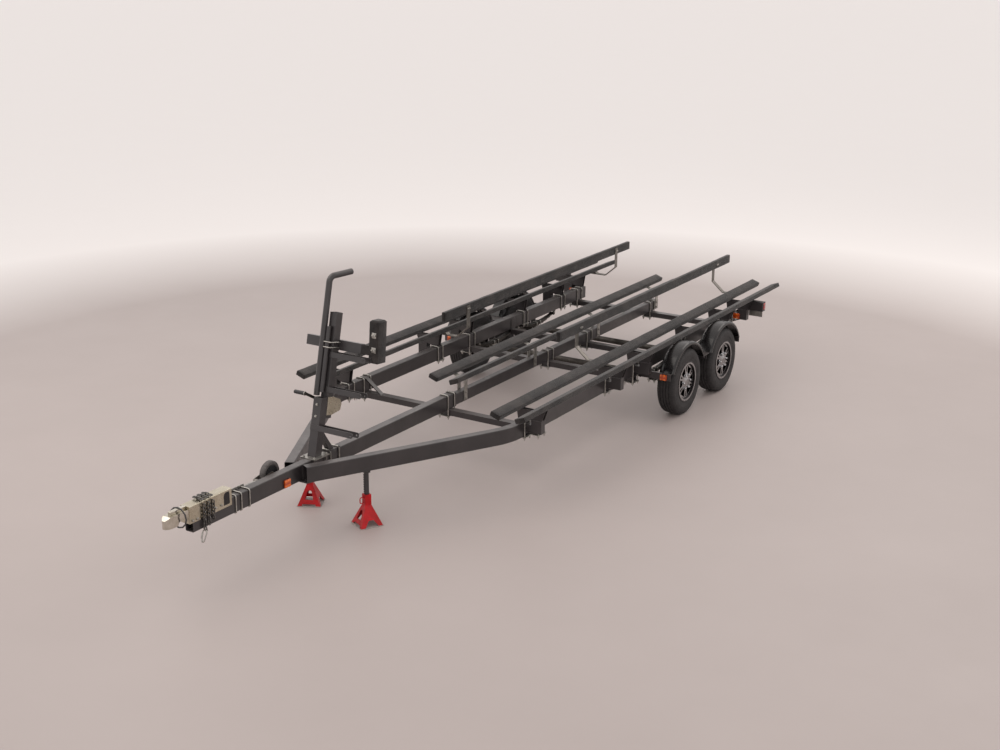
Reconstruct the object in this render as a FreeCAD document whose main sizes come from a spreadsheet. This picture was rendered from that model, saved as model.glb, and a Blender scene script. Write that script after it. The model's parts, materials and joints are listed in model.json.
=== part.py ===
import FreeCAD, Part

import math
import os

import Sketcher

# Tandem-axle bunk trailer for a boat with three floats, parked on two jack stands.
# Axes: +X to the trailer's left, +Y to the rear, +Z up. Origin on the ground, in the middle
# of the footprint. Everything is in millimetres and degrees.

Vector = FreeCAD.Vector

# Driving dimensions. Names that end in At are places, measured from the origin.
SIZES = {
    # frame tubes
    "RailWidth": 76, "RailHeight": 127, "RailWall": 5, "RailBottom": 450, "CornerRadius": 7,
    "TongueFrontAt": -3842, "TongueRearAt": -560, "SideRailSpacing": 1816, "RailRearAt": 3420,
    "RailBendAt": -1085, "RailBendAngle": 27.6, "RailBendRadius": 572, "RailFrontGap": 4,
    "CentreTubeWidth": 64, "CentreTubeHeight": 102, "CentreTubeOverlap": 300,
    "CrossDepth": 72, "CrossHeight": 51, "CrossWall": 5, "TiePlate": 6,
    "CrossOneAt": -648, "CrossTwoAt": 1079, "CrossThreeAhead": 127, "CrossFourAt": 3273,
    "BraceWidth": 45, "BraceThickness": 6, "BraceRun": 170,
    # bolts bent round the tubes
    "UboltRod": 11, "UboltTail": 26, "ClampPlate": 6, "UboltSpread": 49, "UboltGap": 0.3,
    # wheels and axles
    "FrontAxleAt": 1560, "AxleSpacing": 850, "TyreRadius": 322, "TyreWidth": 180,
    "WheelTrack": 2358, "RimRadius": 174, "RimFlange": 188, "RimOpening": 160, "RimWidth": 178,
    "HubRadius": 62, "HubBore": 17, "BearingGap": 0.05, "SpokeCount": 6,
    "AxleTube": 60, "DrumRadius": 128, "DrumWidth": 52, "DrumGap": 6, "HubReach": 20,
    "SpindleReach": 70,
    "SpringWidth": 45, "SpringLeaf": 8, "LeafCount": 4, "SpringReach": 325, "SpringRise": 28,
    "SpringSeat": 6, "EyeRadius": 14, "EyePin": 7, "HangerPlate": 6, "HangerWidth": 56,
    # fenders
    "FenderGap": 70, "FenderThickness": 4, "FenderInside": 57, "FenderOutside": 103,
    "FenderLip": 30, "FenderEndAngle": 25, "ArmThickness": 5, "ArmHeight": 66, "ArmFlange": 30,
    # bunks and guides
    "BoardWidth": 94, "BoardThickness": 43, "BunkTilt": 20, "SideBunkGap": 130,
    "CentreBunkGap": 110, "BunkLowEdge": 727, "SideBunkOffset": 999, "SideBunkFrontAt": -1276,
    "SideBunkRearAt": 4085, "CentreBunkFrontAt": -710, "CentreBunkRearAt": 3708,
    "GuideOffset": 613, "GuideTop": 1029, "GuideHeight": 86, "GuideThickness": 38,
    "GuideFrontAt": 199, "GuideRearAt": 3937,
    "MidBracketBehind": 125, "RearBracketBehind": 490,
    "OutriggerReach": 157, "OutriggerDepth": 60, "OutriggerLow": 495, "OutriggerHigh": 561,
    "EndBlockTop": 605, "EndBlockLength": 97, "FootPlate": 6, "ClipPlate": 5, "ClipSpread": 22,
    "FootReach": 50, "ShortFootReach": 30, "StrapWidth": 50, "StrapThickness": 6,
    "GuideStrap": 8, "GuideStrapFront": 590, "GuideStrapRear": 3600,
    # mast
    "MastFootAt": -2507, "MastLean": 13, "MastWidth": 76, "MastWall": 5, "LowerMastLength": 462,
    "UpperMastWidth": 64, "UpperMastDepth": 73, "UpperMastBottom": 300, "UpperMastTop": 1119,
    "SlideTube": 38, "SlideTubeBottom": 500, "SlideTubeTop": 1010, "MastPlate": 6,
    "StepReach": 327, "StepHeight": 42, "StepPlate": 5, "LowStep": 228, "MidStep": 524,
    "HighStep": 794, "StepHole": 7,
    "PoleRadius": 24, "PoleBottom": 470, "PoleTop": 1395, "PoleGrip": 185, "PoleBend": 55,
    "PoleSwing": 8,
    "CrossbarLeft": 240, "CrossbarRight": 285, "CrossbarHeight": 78, "CrossbarDepth": 50,
    "CrossbarLevel": 870, "PadHeight": 331, "PadWidth": 84, "PadThickness": 104, "PadLean": 5,
    "PadChamfer": 12, "PadOffset": 355, "PadDepth": 192, "PadLevel": 947,
    "WinchPlate": 4, "DrumLevel": 395, "DrumDepth": 205, "WinchDrum": 34, "WinchFlange": 52,
    "CrankReach": 266, "CrankRise": 86, "CrankFlat": 22, "CrankGrip": 105, "GripRadius": 14,
    "CrankOffset": 67,
    # coupler, housing, chains
    "CouplerNoseAt": -4085, "HousingFrontAt": -3877, "HousingRearAt": -3450, "HousingTop": 655,
    "HousingBottom": 526, "HousingWall": 4, "CouplerWidth": 76,
    "CouplerBottom": 552, "CouplerTop": 636, "BallRadius": 25.7, "BallLevel": 580,
    "RingRadius": 74, "RingRod": 12, "ChainFrontAt": -3745, "ChainRearAt": -3655,
    "SlotDrop": 15, "SlotHeight": 52, "ChainRod": 8, "LinkLength": 44, "LinkWidth": 27,
    "ChainTop": 640, "HookLength": 78,
    # swivel jack
    "JackPivotAt": -3262, "JackOffset": 112, "JackLevel": 513, "JackTube": 51, "JackInner": 42,
    "JackFront": 250, "JackRear": 215, "JackInnerRear": 250, "JackWheelRadius": 95,
    "JackWheelWidth": 45, "JackWheelReach": 397, "JackTrail": 32, "PivotRadius": 29,
    "PivotPin": 18, "ForkPlate": 5, "ForkGap": 6, "JackPlate": 6,
    # lamps
    "LampWidth": 158, "LampHeight": 96, "LampDepth": 62, "LensDepth": 16, "LampAt": 3415,
    "LampOffset": 1172, "LampLevel": 642, "MarkerLength": 66, "MarkerHeight": 60,
    "MarkerDepth": 16, "TongueMarkerAt": -2848,
    # stands
    "StandBase": 188, "StandNeck": 54, "StandPlate": 5, "StandHeight": 252, "StandShoulder": 165,
    "StandShift": 30, "StandPost": 40,
    "LeftStandAt": -2228, "RightStandAt": -2130, "SaddleHeight": 18, "SaddleWidth": 50,
}

doc = FreeCAD.newDocument("BoatTrailer")
sheet = doc.addObject("Spreadsheet::Sheet", "Sizes")
for row, (alias, amount) in enumerate(SIZES.items(), start=1):
    sheet.set("A%d" % row, alias)
    sheet.set("B%d" % row, str(amount))
    sheet.setAlias("B%d" % row, alias)
doc.recompute()


class Term:
    """A length or angle, with the sheet expression that gives it."""

    def __init__(self, value, text):
        self.value = float(value)
        self.text = text

    def join(self, other, sign, value):
        return Term(value, "(%s %s %s)" % (self.text, sign, term(other).text))

    def __add__(self, other):
        return self.join(other, "+", self.value + float(other))

    def __sub__(self, other):
        return self.join(other, "-", self.value - float(other))

    def __mul__(self, other):
        return self.join(other, "*", self.value * float(other))

    def __truediv__(self, other):
        return self.join(other, "/", self.value / float(other))

    def __neg__(self):
        return Term(-self.value, "(0 - %s)" % self.text)

    def __radd__(self, other):
        return term(other) + self

    def __rsub__(self, other):
        return term(other) - self

    def __rmul__(self, other):
        return term(other) * self

    def __float__(self):
        return self.value


def term(amount):
    return amount if isinstance(amount, Term) else Term(amount, repr(float(amount)))


def cosine(angle):
    angle = term(angle)
    return Term(math.cos(math.radians(angle.value)), "cos(%s)" % angle.text)


def sine(angle):
    angle = term(angle)
    return Term(math.sin(math.radians(angle.value)), "sin(%s)" % angle.text)


def tangent(angle):
    return sine(angle) / cosine(angle)


class Sheet:
    """The sheet's values, as sizes.RailWidth and so on."""

    def __getattr__(self, alias):
        return Term(sheet.get(alias), "Sizes." + alias)


s = Sheet()
nodes = []


def bind(thing, **terms):
    for name, amount in terms.items():
        thing.setExpression(name, term(amount).text)


def place(thing, x=0, y=0, z=0, axis=None, angle=0):
    """Put a thing at x, y, z, turned by an angle about an axis."""
    turn = FreeCAD.Rotation(Vector(*axis), float(angle)) if axis else FreeCAD.Rotation()
    thing.Placement = FreeCAD.Placement(Vector(float(x), float(y), float(z)), turn)
    for name, amount in (("x", x), ("y", y), ("z", z)):
        thing.setExpression("Placement.Base." + name, term(amount).text)
    if axis:
        thing.setExpression("Placement.Rotation.Angle", term(angle).text)
    return thing


def finish(thing, label):
    thing.Label = label
    nodes.append(thing)
    return thing


def block(x, y, z, at):
    """A box by its three sizes, from its lowest corner."""
    box = doc.addObject("Part::Box", "Box")
    bind(box, Length=x, Width=y, Height=z)
    return place(box, *at)


def rod(radius, length, at, along="z"):
    """A round bar that starts at a point and runs along an axis."""
    bar = doc.addObject("Part::Cylinder", "Rod")
    bind(bar, Radius=radius, Height=length)
    turns = {"z": (None, 0), "x": ((0, 1, 0), 90), "y": ((1, 0, 0), -90)}
    axis, angle = turns[along]
    return place(bar, *at, axis=axis, angle=angle)


def fuse(things, label=None):
    joined = doc.addObject("Part::MultiFuse", "Joined")
    joined.Shapes = things
    return finish(joined, label) if label else joined


def cut(base, tools, label=None):
    tool = tools[0] if len(tools) == 1 else fuse(tools)
    left = doc.addObject("Part::Cut", "Left")
    left.Base = base
    left.Tool = tool
    return finish(left, label) if label else left


def group(things, label):
    """Solids that share a node and don't touch."""
    compound = doc.addObject("Part::Compound", "Group")
    compound.Links = things
    return finish(compound, label)


# Sketched bodies. A loop is a list of (u, v) corners, or ("circle", u, v, radius).
PLANES = {"XY": "XY_Plane", "XZ": "XZ_Plane", "YZ": "YZ_Plane"}


def new_body(label=None):
    body = doc.addObject("PartDesign::Body", "Body")
    return finish(body, label) if label else body


def draw(body, plane, start, loops):
    """A sketch on one of the body's own planes, with every corner tied to the sheet."""
    sketch = body.newObject("Sketcher::SketchObject", "Sketch")
    origin = [item for item in body.Origin.OriginFeatures if item.Role == PLANES[plane]][0]
    sketch.AttachmentSupport = [(origin, "")]
    sketch.MapMode = "FlatFace"
    away = -1 if plane == "XZ" else 1
    sketch.setExpression("AttachmentOffset.Base.z", (term(start) * away).text)
    for loop in loops:
        if loop[0] == "circle":
            circle(sketch, *loop[1:])
        else:
            corners(sketch, loop)
    return sketch


def tie(sketch, kind, owner, point, amount):
    """Hold a point's distance from the sketch's origin to a term."""
    index = sketch.addConstraint(Sketcher.Constraint(kind, -1, 1, owner, point, float(amount)))
    name = "c%d" % index
    sketch.renameConstraint(index, name)
    sketch.setExpression("Constraints." + name, term(amount).text)


def corners(sketch, points):
    first = sketch.GeometryCount
    flat = [Vector(float(u), float(v), 0) for u, v in points]
    for number, start in enumerate(flat):
        end = flat[(number + 1) % len(flat)]
        sketch.addGeometry(Part.LineSegment(start, end), False)
    for number, (u, v) in enumerate(points):
        before = first + (number - 1) % len(points)
        sketch.addConstraint(Sketcher.Constraint("Coincident", before, 2, first + number, 1))
        tie(sketch, "DistanceX", first + number, 1, u)
        tie(sketch, "DistanceY", first + number, 1, v)


def circle(sketch, u, v, radius):
    centre = Vector(float(u), float(v), 0)
    owner = sketch.addGeometry(Part.Circle(centre, Vector(0, 0, 1), float(radius)), False)
    tie(sketch, "DistanceX", owner, 3, u)
    tie(sketch, "DistanceY", owner, 3, v)
    index = sketch.addConstraint(Sketcher.Constraint("Radius", owner, float(radius)))
    sketch.renameConstraint(index, "r%d" % index)
    sketch.setExpression("Constraints.r%d" % index, term(radius).text)


def pad(body, plane, start, length, loops):
    """Material from start to start + length along the plane's world axis."""
    feature = body.newObject("PartDesign::Pad", "Pad")
    feature.Profile = draw(body, plane, start, loops)
    feature.Reversed = plane == "XZ"
    bind(feature, Length=length)
    return feature


def pocket(body, plane, start, length, loops):
    """Material taken out from start to start + length along the plane's world axis."""
    feature = body.newObject("PartDesign::Pocket", "Pocket")
    feature.Profile = draw(body, plane, start, loops)
    feature.Reversed = plane != "XZ"
    bind(feature, Length=length)
    return feature


def rectangle(u, v, width, height):
    return [(u, v), (u + width, v), (u + width, v + height), (u, v + height)]


def revolve(body, plane, points, axis, angle=360):
    """A profile turned about an axis of its own sketch, H_Axis or V_Axis."""
    feature = body.newObject("PartDesign::Revolution", "Turned")
    sketch = draw(body, plane, 0, [points])
    feature.Profile = sketch
    feature.ReferenceAxis = (sketch, [axis])
    feature.Angle = angle
    return feature


def round_edges(body, radius, chosen):
    """Round the edges of the body so far that the test picks."""
    doc.recompute()
    names = ["Edge%d" % (number + 1) for number, edge in enumerate(body.Shape.Edges) if chosen(edge)]
    last = body.Tip
    feature = body.newObject("PartDesign::Fillet", "Rounded")
    feature.Base = (last, names)
    bind(feature, Radius=radius)
    return feature


def lies_along(edge, axis):
    """Whether an edge is straight and runs along a world axis, 0, 1 or 2."""
    if len(edge.Vertexes) != 2:
        return False
    run = edge.Vertexes[1].Point - edge.Vertexes[0].Point
    return abs(abs(run[axis]) - run.Length) < 1e-4 * run.Length


def hollow_tube(label, width, height, wall, start, length, x, z):
    """A straight square-cornered tube along Y, open at both ends, its long edges rounded."""
    body = new_body(label)
    outer = rectangle(x - width / 2, z, width, height)
    inner = rectangle(x - width / 2 + wall, z + wall, width - wall * 2, height - wall * 2)
    pad(body, "XZ", start, length, [outer, inner])
    half, top = float(width) / 2, float(z + height)

    def outside(edge):
        point = edge.Vertexes[0].Point
        at_side = abs(abs(point.x - float(x)) - half) < 0.01
        return lies_along(edge, 1) and at_side and min(abs(point.z - float(z)), abs(point.z - top)) < 0.01

    round_edges(body, s.CornerRadius, outside)
    return body


# Shared places
RAIL_TOP = s.RailBottom + s.RailHeight
RAIL_CENTRE = s.SideRailSpacing / 2
RAIL_FACE = RAIL_CENTRE + s.RailWidth / 2
CENTRE_BOTTOM = s.RailBottom + s.RailWall
CENTRE_TOP = CENTRE_BOTTOM + s.CentreTubeHeight
CENTRE_FRONT = s.TongueRearAt - s.CentreTubeOverlap
CROSS_BOTTOM = s.RailBottom - s.CrossHeight
REAR_AXLE = s.FrontAxleAt + s.AxleSpacing
AXLES_MIDDLE = s.FrontAxleAt + s.AxleSpacing / 2
WHEEL_CENTRE = s.WheelTrack / 2
FENDER_TOP = s.TyreRadius + s.FenderGap
CROSS_PLACES = [s.CrossOneAt, s.CrossTwoAt, AXLES_MIDDLE - s.CrossThreeAhead, s.CrossFourAt]
# bracket places: where along the rail, whether it has an outrigger, whether it has its own bolts
SIDE_BRACKETS = [(term(-880), True, True), (term(520), True, True), (s.CrossTwoAt, True, False),
                 (AXLES_MIDDLE + s.MidBracketBehind, False, True),
                 (REAR_AXLE + s.RearBracketBehind, True, True), (term(3370), True, False)]
CENTRE_BRACKETS = [term(-408), term(790), term(2048), term(3375)]
LEFT, RIGHT = 1, -1


# Frame
def make_tongue():
    hollow_tube("tongue_tube", s.RailWidth, s.RailHeight, s.RailWall, s.TongueFrontAt,
                s.TongueRearAt - s.TongueFrontAt, term(0), s.RailBottom)
    hollow_tube("centre_rail", s.CentreTubeWidth, s.CentreTubeHeight, s.RailWall, CENTRE_FRONT,
                s.RailRearAt - CENTRE_FRONT, term(0), CENTRE_BOTTOM)


def rail_line(side, offset):
    """Plan corners of the bent rail's line, offset outwards: front end, bend vertex, rear end."""
    lean = s.RailBendAngle
    vertex_x = RAIL_CENTRE + offset
    vertex_y = s.RailBendAt - offset * tangent(lean / 2)
    front_x = s.RailWidth / 2 + s.RailFrontGap + (s.RailWidth / 2 + offset) * cosine(lean)
    front_y = vertex_y - (vertex_x - front_x) / tangent(lean)
    return [(front_x * side, front_y), (vertex_x * side, vertex_y), (vertex_x * side, s.RailRearAt)]


def bent_strip(side, inner, outer, top, bottom):
    """The solid between two offset lines of a side rail, its bend an arc about one centre."""
    lean = float(s.RailBendAngle)
    radius = float(s.RailBendRadius)
    back = radius * math.tan(math.radians(lean / 2))
    runs = []
    for offset in (inner, outer):
        front, vertex, rear = [Vector(float(x), float(y), float(bottom)) for x, y in rail_line(side, offset)]
        span = back * (radius + float(offset)) / radius
        leave = vertex + (front - vertex).normalize() * span
        join = vertex + (rear - vertex).normalize() * span
        middle = arc_middle(leave, vertex, join)
        runs.append((front, leave, middle, join, rear))
    near, far = runs
    edges = [Part.LineSegment(near[0], near[1]), Part.Arc(near[1], near[2], near[3]),
             Part.LineSegment(near[3], near[4]), Part.LineSegment(near[4], far[4]),
             Part.LineSegment(far[4], far[3]), Part.Arc(far[3], far[2], far[1]),
             Part.LineSegment(far[1], far[0]), Part.LineSegment(far[0], near[0])]
    face = Part.Face(Part.Wire([edge.toShape() for edge in edges]))
    return face.extrude(Vector(0, 0, float(top) - float(bottom)))


def arc_middle(leave, vertex, join):
    """The middle point of the arc that touches both runs at leave and join."""
    chord = (leave + join) * 0.5
    half = (join - leave).Length / 2
    run = (vertex - leave).Length
    inwards = (chord - vertex).normalize()
    centre_distance = run * half / (chord - vertex).Length
    radius = centre_distance
    centre = vertex + inwards * math.hypot(radius, run)
    return centre - inwards * radius


def make_side_rail(side, label):
    half, wall = s.RailWidth / 2, s.RailWall
    outer = bent_strip(side, -half, half, RAIL_TOP, s.RailBottom)
    straight = [edge for edge in outer.Edges if abs(edge.tangentAt(edge.FirstParameter).z) < 1e-6
                and edge.Length > float(s.RailWidth) + 1]
    outer = outer.makeFillet(float(s.CornerRadius), straight)
    inner = bent_strip(side, wall - half, half - wall, RAIL_TOP - wall, s.RailBottom + wall)
    rail = doc.addObject("Part::Feature", "SideRail")
    rail.Shape = outer.cut(inner)
    finish(rail, label)


def make_crossmembers():
    """Tubes under the rails, with a pad under the smaller centre tube and plate braces."""
    bars = []
    for number, middle in enumerate(CROSS_PLACES):
        between_springs = number == 2
        reach = RAIL_FACE - s.RailWidth - s.TiePlate if between_springs else RAIL_FACE
        body = new_body()
        front = middle - s.CrossDepth / 2
        outer = rectangle(front, CROSS_BOTTOM, s.CrossDepth, s.CrossHeight)
        inner = rectangle(front + s.CrossWall, CROSS_BOTTOM + s.CrossWall,
                          s.CrossDepth - s.CrossWall * 2, s.CrossHeight - s.CrossWall * 2)
        pad(body, "YZ", -reach, reach * 2, [outer, inner])
        pieces = [body]
        if number > 0:
            pieces.append(block(s.CentreTubeWidth, s.CrossDepth, s.RailWall,
                                (-s.CentreTubeWidth / 2, front, s.RailBottom)))
        if number == 0:
            pieces += [corner_brace(side, middle) for side in (LEFT, RIGHT)]
        if between_springs:
            tall = RAIL_TOP - s.RailWall * 4 - CROSS_BOTTOM
            for x in (reach, -reach - s.TiePlate):
                pieces.append(block(s.TiePlate, s.CrossDepth, tall, (x, front, CROSS_BOTTOM)))
        bars.append(fuse(pieces))
    group(bars, "crossmembers")


def corner_brace(side, middle):
    """A flat bar from the rail's inner face down to the first crossmember."""
    brace = new_body()
    face_x = (RAIL_CENTRE - s.RailWidth / 2) * side
    foot_x = face_x - s.BraceRun * side
    thick = s.BraceThickness * side
    outline = [(face_x, RAIL_TOP), (face_x, RAIL_TOP - s.BraceThickness * 3),
               (foot_x + thick * 2, s.RailBottom), (foot_x, s.RailBottom)]
    pad(brace, "XZ", middle - s.BraceWidth / 2, s.BraceWidth, [outline])
    return brace


def make_tie_plate():
    """The plate under the front ends of the side rails that ties them to the tongue."""
    plate = new_body("rail_tie_plate")
    front, rear = term(-2690), term(-2575)
    pad(plate, "XY", s.RailBottom - s.TiePlate, s.TiePlate,
        [[(term(-105), front), (term(105), front), (term(140), rear), (term(-140), rear)]])


make_tongue()
make_side_rail(LEFT, "side_rail_left")
make_side_rail(RIGHT, "side_rail_right")
make_crossmembers()
make_tie_plate()


# Bolts bent square round a tube. The rod is a six-sided bar with mitred bends.
def bent_bar(points, rod_size, closed=False, sides=6):
    """A bar of the given size across its corners, along straight runs with mitred bends."""
    line = [Vector(*[float(value) for value in point]) for point in points]
    if closed:
        middle = (line[0] + line[1]) * 0.5
        line = [middle] + line[1:] + [line[0], middle]
    run = (line[1] - line[0]).normalize()
    across = run.cross(Vector(0, 0, 1))
    across = across.normalize() if across.Length > 0.1 else Vector(1, 0, 0)
    radius = float(rod_size) / 2
    ring = []
    for number in range(sides):
        spoke = FreeCAD.Rotation(run, 360 / sides * number).multVec(across)
        ring.append(line[0] + spoke * radius)
    profile = Part.makePolygon(ring + [ring[0]])
    return Part.makePolygon(line).makePipeShell([profile], True, False, 1)


def ubolt(x, y, width, top, bottom):
    """A bolt over the top of a tube, its two legs down past a clamp plate at bottom."""
    half = width / 2 + s.UboltRod / 2 + s.UboltGap
    high = top + s.UboltRod / 2 + s.UboltGap
    low = bottom - s.ClampPlate - s.UboltTail
    return bent_bar([(x - half, y, low), (x - half, y, high), (x + half, y, high), (x + half, y, low)],
                    s.UboltRod)


def clamp_plate(x, y, width, top, spread=None):
    """A plate under a tube with a hole for each leg of one bolt, or of two at a spread."""
    half = float(width / 2 + s.UboltRod / 2 + s.UboltGap)
    margin = float(s.UboltRod) * 1.3
    reach = half + margin
    steps = [0] if spread is None else [-float(spread), float(spread)]
    deep = steps[-1] + margin
    thick = float(s.ClampPlate)
    x, y, low = float(x), float(y), float(top) - thick
    plate = Part.makeBox(reach * 2, deep * 2, thick, Vector(x - reach, y - deep, low))
    for step in steps:
        for side in (-half, half):
            radius = float(s.UboltRod / 2 + s.UboltGap)
            hole = Part.makeCylinder(radius, thick, Vector(x + side, y + step, low))
            plate = plate.cut(hole)
    return plate


def feature(shape, label):
    thing = doc.addObject("Part::Feature", "Shape")
    thing.Shape = shape
    return finish(thing, label)


def make_frame_ubolts():
    solids = []
    for number, middle in enumerate(CROSS_PLACES):
        middle_top = RAIL_TOP if number == 0 else CENTRE_TOP
        middle_width = s.RailWidth if number == 0 else s.CentreTubeWidth
        tubes = [(term(0), middle_width, middle_top)]
        if number != 2:
            tubes += [(RAIL_CENTRE * side, s.RailWidth, RAIL_TOP) for side in (LEFT, RIGHT)]
        for x, width, top in tubes:
            for step in (-s.UboltSpread, s.UboltSpread):
                solids.append(ubolt(x, middle + step, width, top, CROSS_BOTTOM))
            solids.append(clamp_plate(x, middle, width, CROSS_BOTTOM, s.UboltSpread))
    for place_y, outrigger, bolted in SIDE_BRACKETS:
        if bolted:
            spread = s.FootReach - s.UboltRod
            for side in (LEFT, RIGHT):
                x = RAIL_CENTRE * side
                for step in (-spread, spread):
                    solids.append(ubolt(x, place_y + step, s.RailWidth, RAIL_TOP + s.FootPlate, s.RailBottom))
                solids.append(clamp_plate(x, place_y, s.RailWidth, s.RailBottom, spread))
    feature(Part.makeCompound(solids), "frame_ubolts")


make_frame_ubolts()


# Wheels. Each tyre and rim is turned about the wheel's own centre, then set on its axle.
def tyre_profile():
    half, top, bead = s.TyreWidth / 2, s.TyreRadius, s.RimRadius
    side = [(half - 10, bead), (half - 10, bead + 15), (half - 3, bead + 32), (half, top - 78),
            (half - 4, top - 38), (half - 17, top - 13), (half - 45, top)]
    mirrored = [(-u, v) for u, v in reversed(side)]
    return side + mirrored


def make_wheel(side, middle, name):
    turn = 0 if side == LEFT else 180
    where = dict(x=WHEEL_CENTRE * side, y=middle, z=s.TyreRadius, axis=(0, 0, 1), angle=turn)
    tyre = new_body("tyre_" + name)
    revolve(tyre, "XY", tyre_profile(), "H_Axis")
    place(tyre, **where)
    rim = new_body("rim_" + name)
    half = s.RimWidth / 2
    seat = half - 8.7
    revolve(rim, "XY", [(-half, s.RimFlange), (-seat, s.RimFlange), (-seat, s.RimRadius),
                        (seat, s.RimRadius), (seat, s.RimFlange), (half, s.RimFlange),
                        (half, s.RimOpening + 10), (seat - 4, s.RimOpening), (-seat, s.RimOpening),
                        (-half, s.RimOpening + 8)], "H_Axis")
    bore = s.HubBore
    revolve(rim, "XY", [(-s.HubReach, bore), (-s.HubReach, s.HubRadius), (term(48), s.HubRadius),
                        (term(48), s.RimOpening + 2), (term(72), s.RimOpening + 2), (term(74), s.HubRadius + 10),
                        (term(84), s.HubRadius - 20), (half, term(27)), (half, term(0)),
                        (s.SpindleReach + 2, term(0)), (s.SpindleReach + 2, bore)], "H_Axis")
    around(rim, pocket(rim, "YZ", term(46), term(40), [wedge(term(82), term(150), term(15), term(19), 0)]))
    around(rim, pocket(rim, "YZ", term(46), term(40), [wedge(term(98), term(148), term(3), term(4.5), 30)]))
    place(rim, **where)


def wedge(near, far, near_half, far_half, middle):
    """A window between two radii, its half width an angle at each end."""
    corners_at = [(near, middle - near_half), (far, middle - far_half),
                  (far, middle + far_half), (near, middle + near_half)]
    return [(radius * cosine(angle), radius * sine(angle)) for radius, angle in corners_at]


def around(body, window):
    """The same window once for each spoke."""
    pattern = body.newObject("PartDesign::PolarPattern", "Around")
    axis = [item for item in body.Origin.OriginFeatures if item.Role == "X_Axis"][0]
    pattern.Originals = [window]
    pattern.Axis = (axis, [""])
    pattern.Angle = 360
    bind(pattern, Occurrences=s.SpokeCount)
    body.Tip = pattern


WHEELS = [(LEFT, s.FrontAxleAt, "front_left"), (RIGHT, s.FrontAxleAt, "front_right"),
          (LEFT, REAR_AXLE, "rear_left"), (RIGHT, REAR_AXLE, "rear_right")]
for side, middle, name in WHEELS:
    make_wheel(side, middle, name)


# Axles, springs and what holds them
def make_axles():
    built = []
    drum_end = WHEEL_CENTRE - s.HubReach - s.DrumGap
    for middle in (s.FrontAxleAt, REAR_AXLE):
        reach = drum_end - s.DrumWidth
        pieces = [rod(s.AxleTube / 2, reach * 2, (-reach, middle, s.TyreRadius), "x")]
        for side in (LEFT, RIGHT):
            low_x = reach if side == LEFT else -drum_end
            pieces.append(rod(s.DrumRadius, s.DrumWidth, (low_x, middle, s.TyreRadius), "x"))
            spindle = WHEEL_CENTRE + s.SpindleReach - drum_end
            low_x = drum_end if side == LEFT else -drum_end - spindle
            pieces.append(rod(s.HubBore - s.BearingGap, spindle, (low_x, middle, s.TyreRadius), "x"))
        built.append(fuse(pieces))
    group(built, "axles")


SEAT_TOP = s.TyreRadius + s.AxleTube / 2 + s.SpringSeat
MAIN_LEAF = SEAT_TOP + s.SpringLeaf * (s.LeafCount - 1)
EYE_LEVEL = MAIN_LEAF + s.SpringRise + s.SpringLeaf / 2


def spring_outline(middle):
    """A pack of leaves seen from the side, each shorter than the one above, risen at its ends."""
    ends = [s.SpringReach - 9, term(250), term(180), term(110)]

    def level(along):
        return MAIN_LEAF + s.SpringRise * along * along / (s.SpringReach * s.SpringReach)

    high = [(middle + along, level(along) + s.SpringLeaf) for along in ends + [term(0)]]
    high += [(middle - along, level(along) + s.SpringLeaf) for along in ends[::-1]]
    steps = [(ends[0], level(ends[0]))]
    for number in range(1, len(ends)):
        along = ends[number]
        steps.append((along, level(along) - s.SpringLeaf * (number - 1)))
        steps.append((along, level(along) - s.SpringLeaf * number))
    left = [(middle - along, height) for along, height in steps]
    right = [(middle + along, height) for along, height in steps[::-1]]
    return high + left + right


def make_springs():
    springs = []
    for side in (LEFT, RIGHT):
        near = RAIL_CENTRE * side - s.SpringWidth / 2
        for middle in (s.FrontAxleAt, REAR_AXLE):
            spring = new_body()
            pad(spring, "YZ", near, s.SpringWidth, [spring_outline(middle)])
            for end in (-s.SpringReach, s.SpringReach):
                pad(spring, "YZ", near, s.SpringWidth, [("circle", middle + end, EYE_LEVEL, s.EyeRadius)])
            for end in (-s.SpringReach, s.SpringReach):
                hole = ("circle", middle + end, EYE_LEVEL, s.EyePin + s.UboltGap)
                pocket(spring, "YZ", near - 1, s.SpringWidth + 2, [hole])
            springs.append(spring)
    group(springs, "leaf_springs")


def hanger(side, middle):
    """Two plates under the rail with the pin of a spring's eye."""
    centre = RAIL_CENTRE * side
    inner = s.SpringWidth / 2 + s.UboltGap
    low = EYE_LEVEL - s.EyeRadius
    half = s.HangerWidth / 2
    outline = [(middle - half, s.RailBottom), (middle - s.EyeRadius, low),
               (middle + s.EyeRadius, low), (middle + half, s.RailBottom)]
    pieces = [rod(s.EyePin, inner * 2, (centre - inner, middle, EYE_LEVEL), "x")]
    for start in (centre - inner - s.HangerPlate, centre + inner):
        plate = new_body()
        pad(plate, "YZ", start, s.HangerPlate, [outline])
        pieces.append(plate)
    return fuse(pieces)


def equaliser(side):
    """The rocker between the two springs, on a plate welded under the rail."""
    centre = RAIL_CENTRE * side
    reach = s.AxleSpacing / 2 - s.SpringReach
    inner = s.SpringWidth / 2 + s.UboltGap
    middle = AXLES_MIDDLE
    web = new_body()
    pad(web, "YZ", centre - 14, term(28),
        [[(middle - 34, s.RailBottom), (middle - 16, EYE_LEVEL - 14),
          (middle + 16, EYE_LEVEL - 14), (middle + 34, s.RailBottom)]])
    outline = [(middle - reach - 16, EYE_LEVEL - 12), (middle - reach - 16, EYE_LEVEL + 13),
               (middle + reach + 16, EYE_LEVEL + 13), (middle + reach + 16, EYE_LEVEL - 12),
               (middle, EYE_LEVEL - 34)]
    pieces = [web]
    for start in (centre - inner - s.HangerPlate, centre + inner):
        plate = new_body()
        pad(plate, "YZ", start, s.HangerPlate, [outline])
        pieces.append(plate)
    for y in (middle - reach, middle, middle + reach):
        pieces.append(rod(s.EyePin, inner * 2, (centre - inner, y, EYE_LEVEL), "x"))
    return fuse(pieces)


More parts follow.
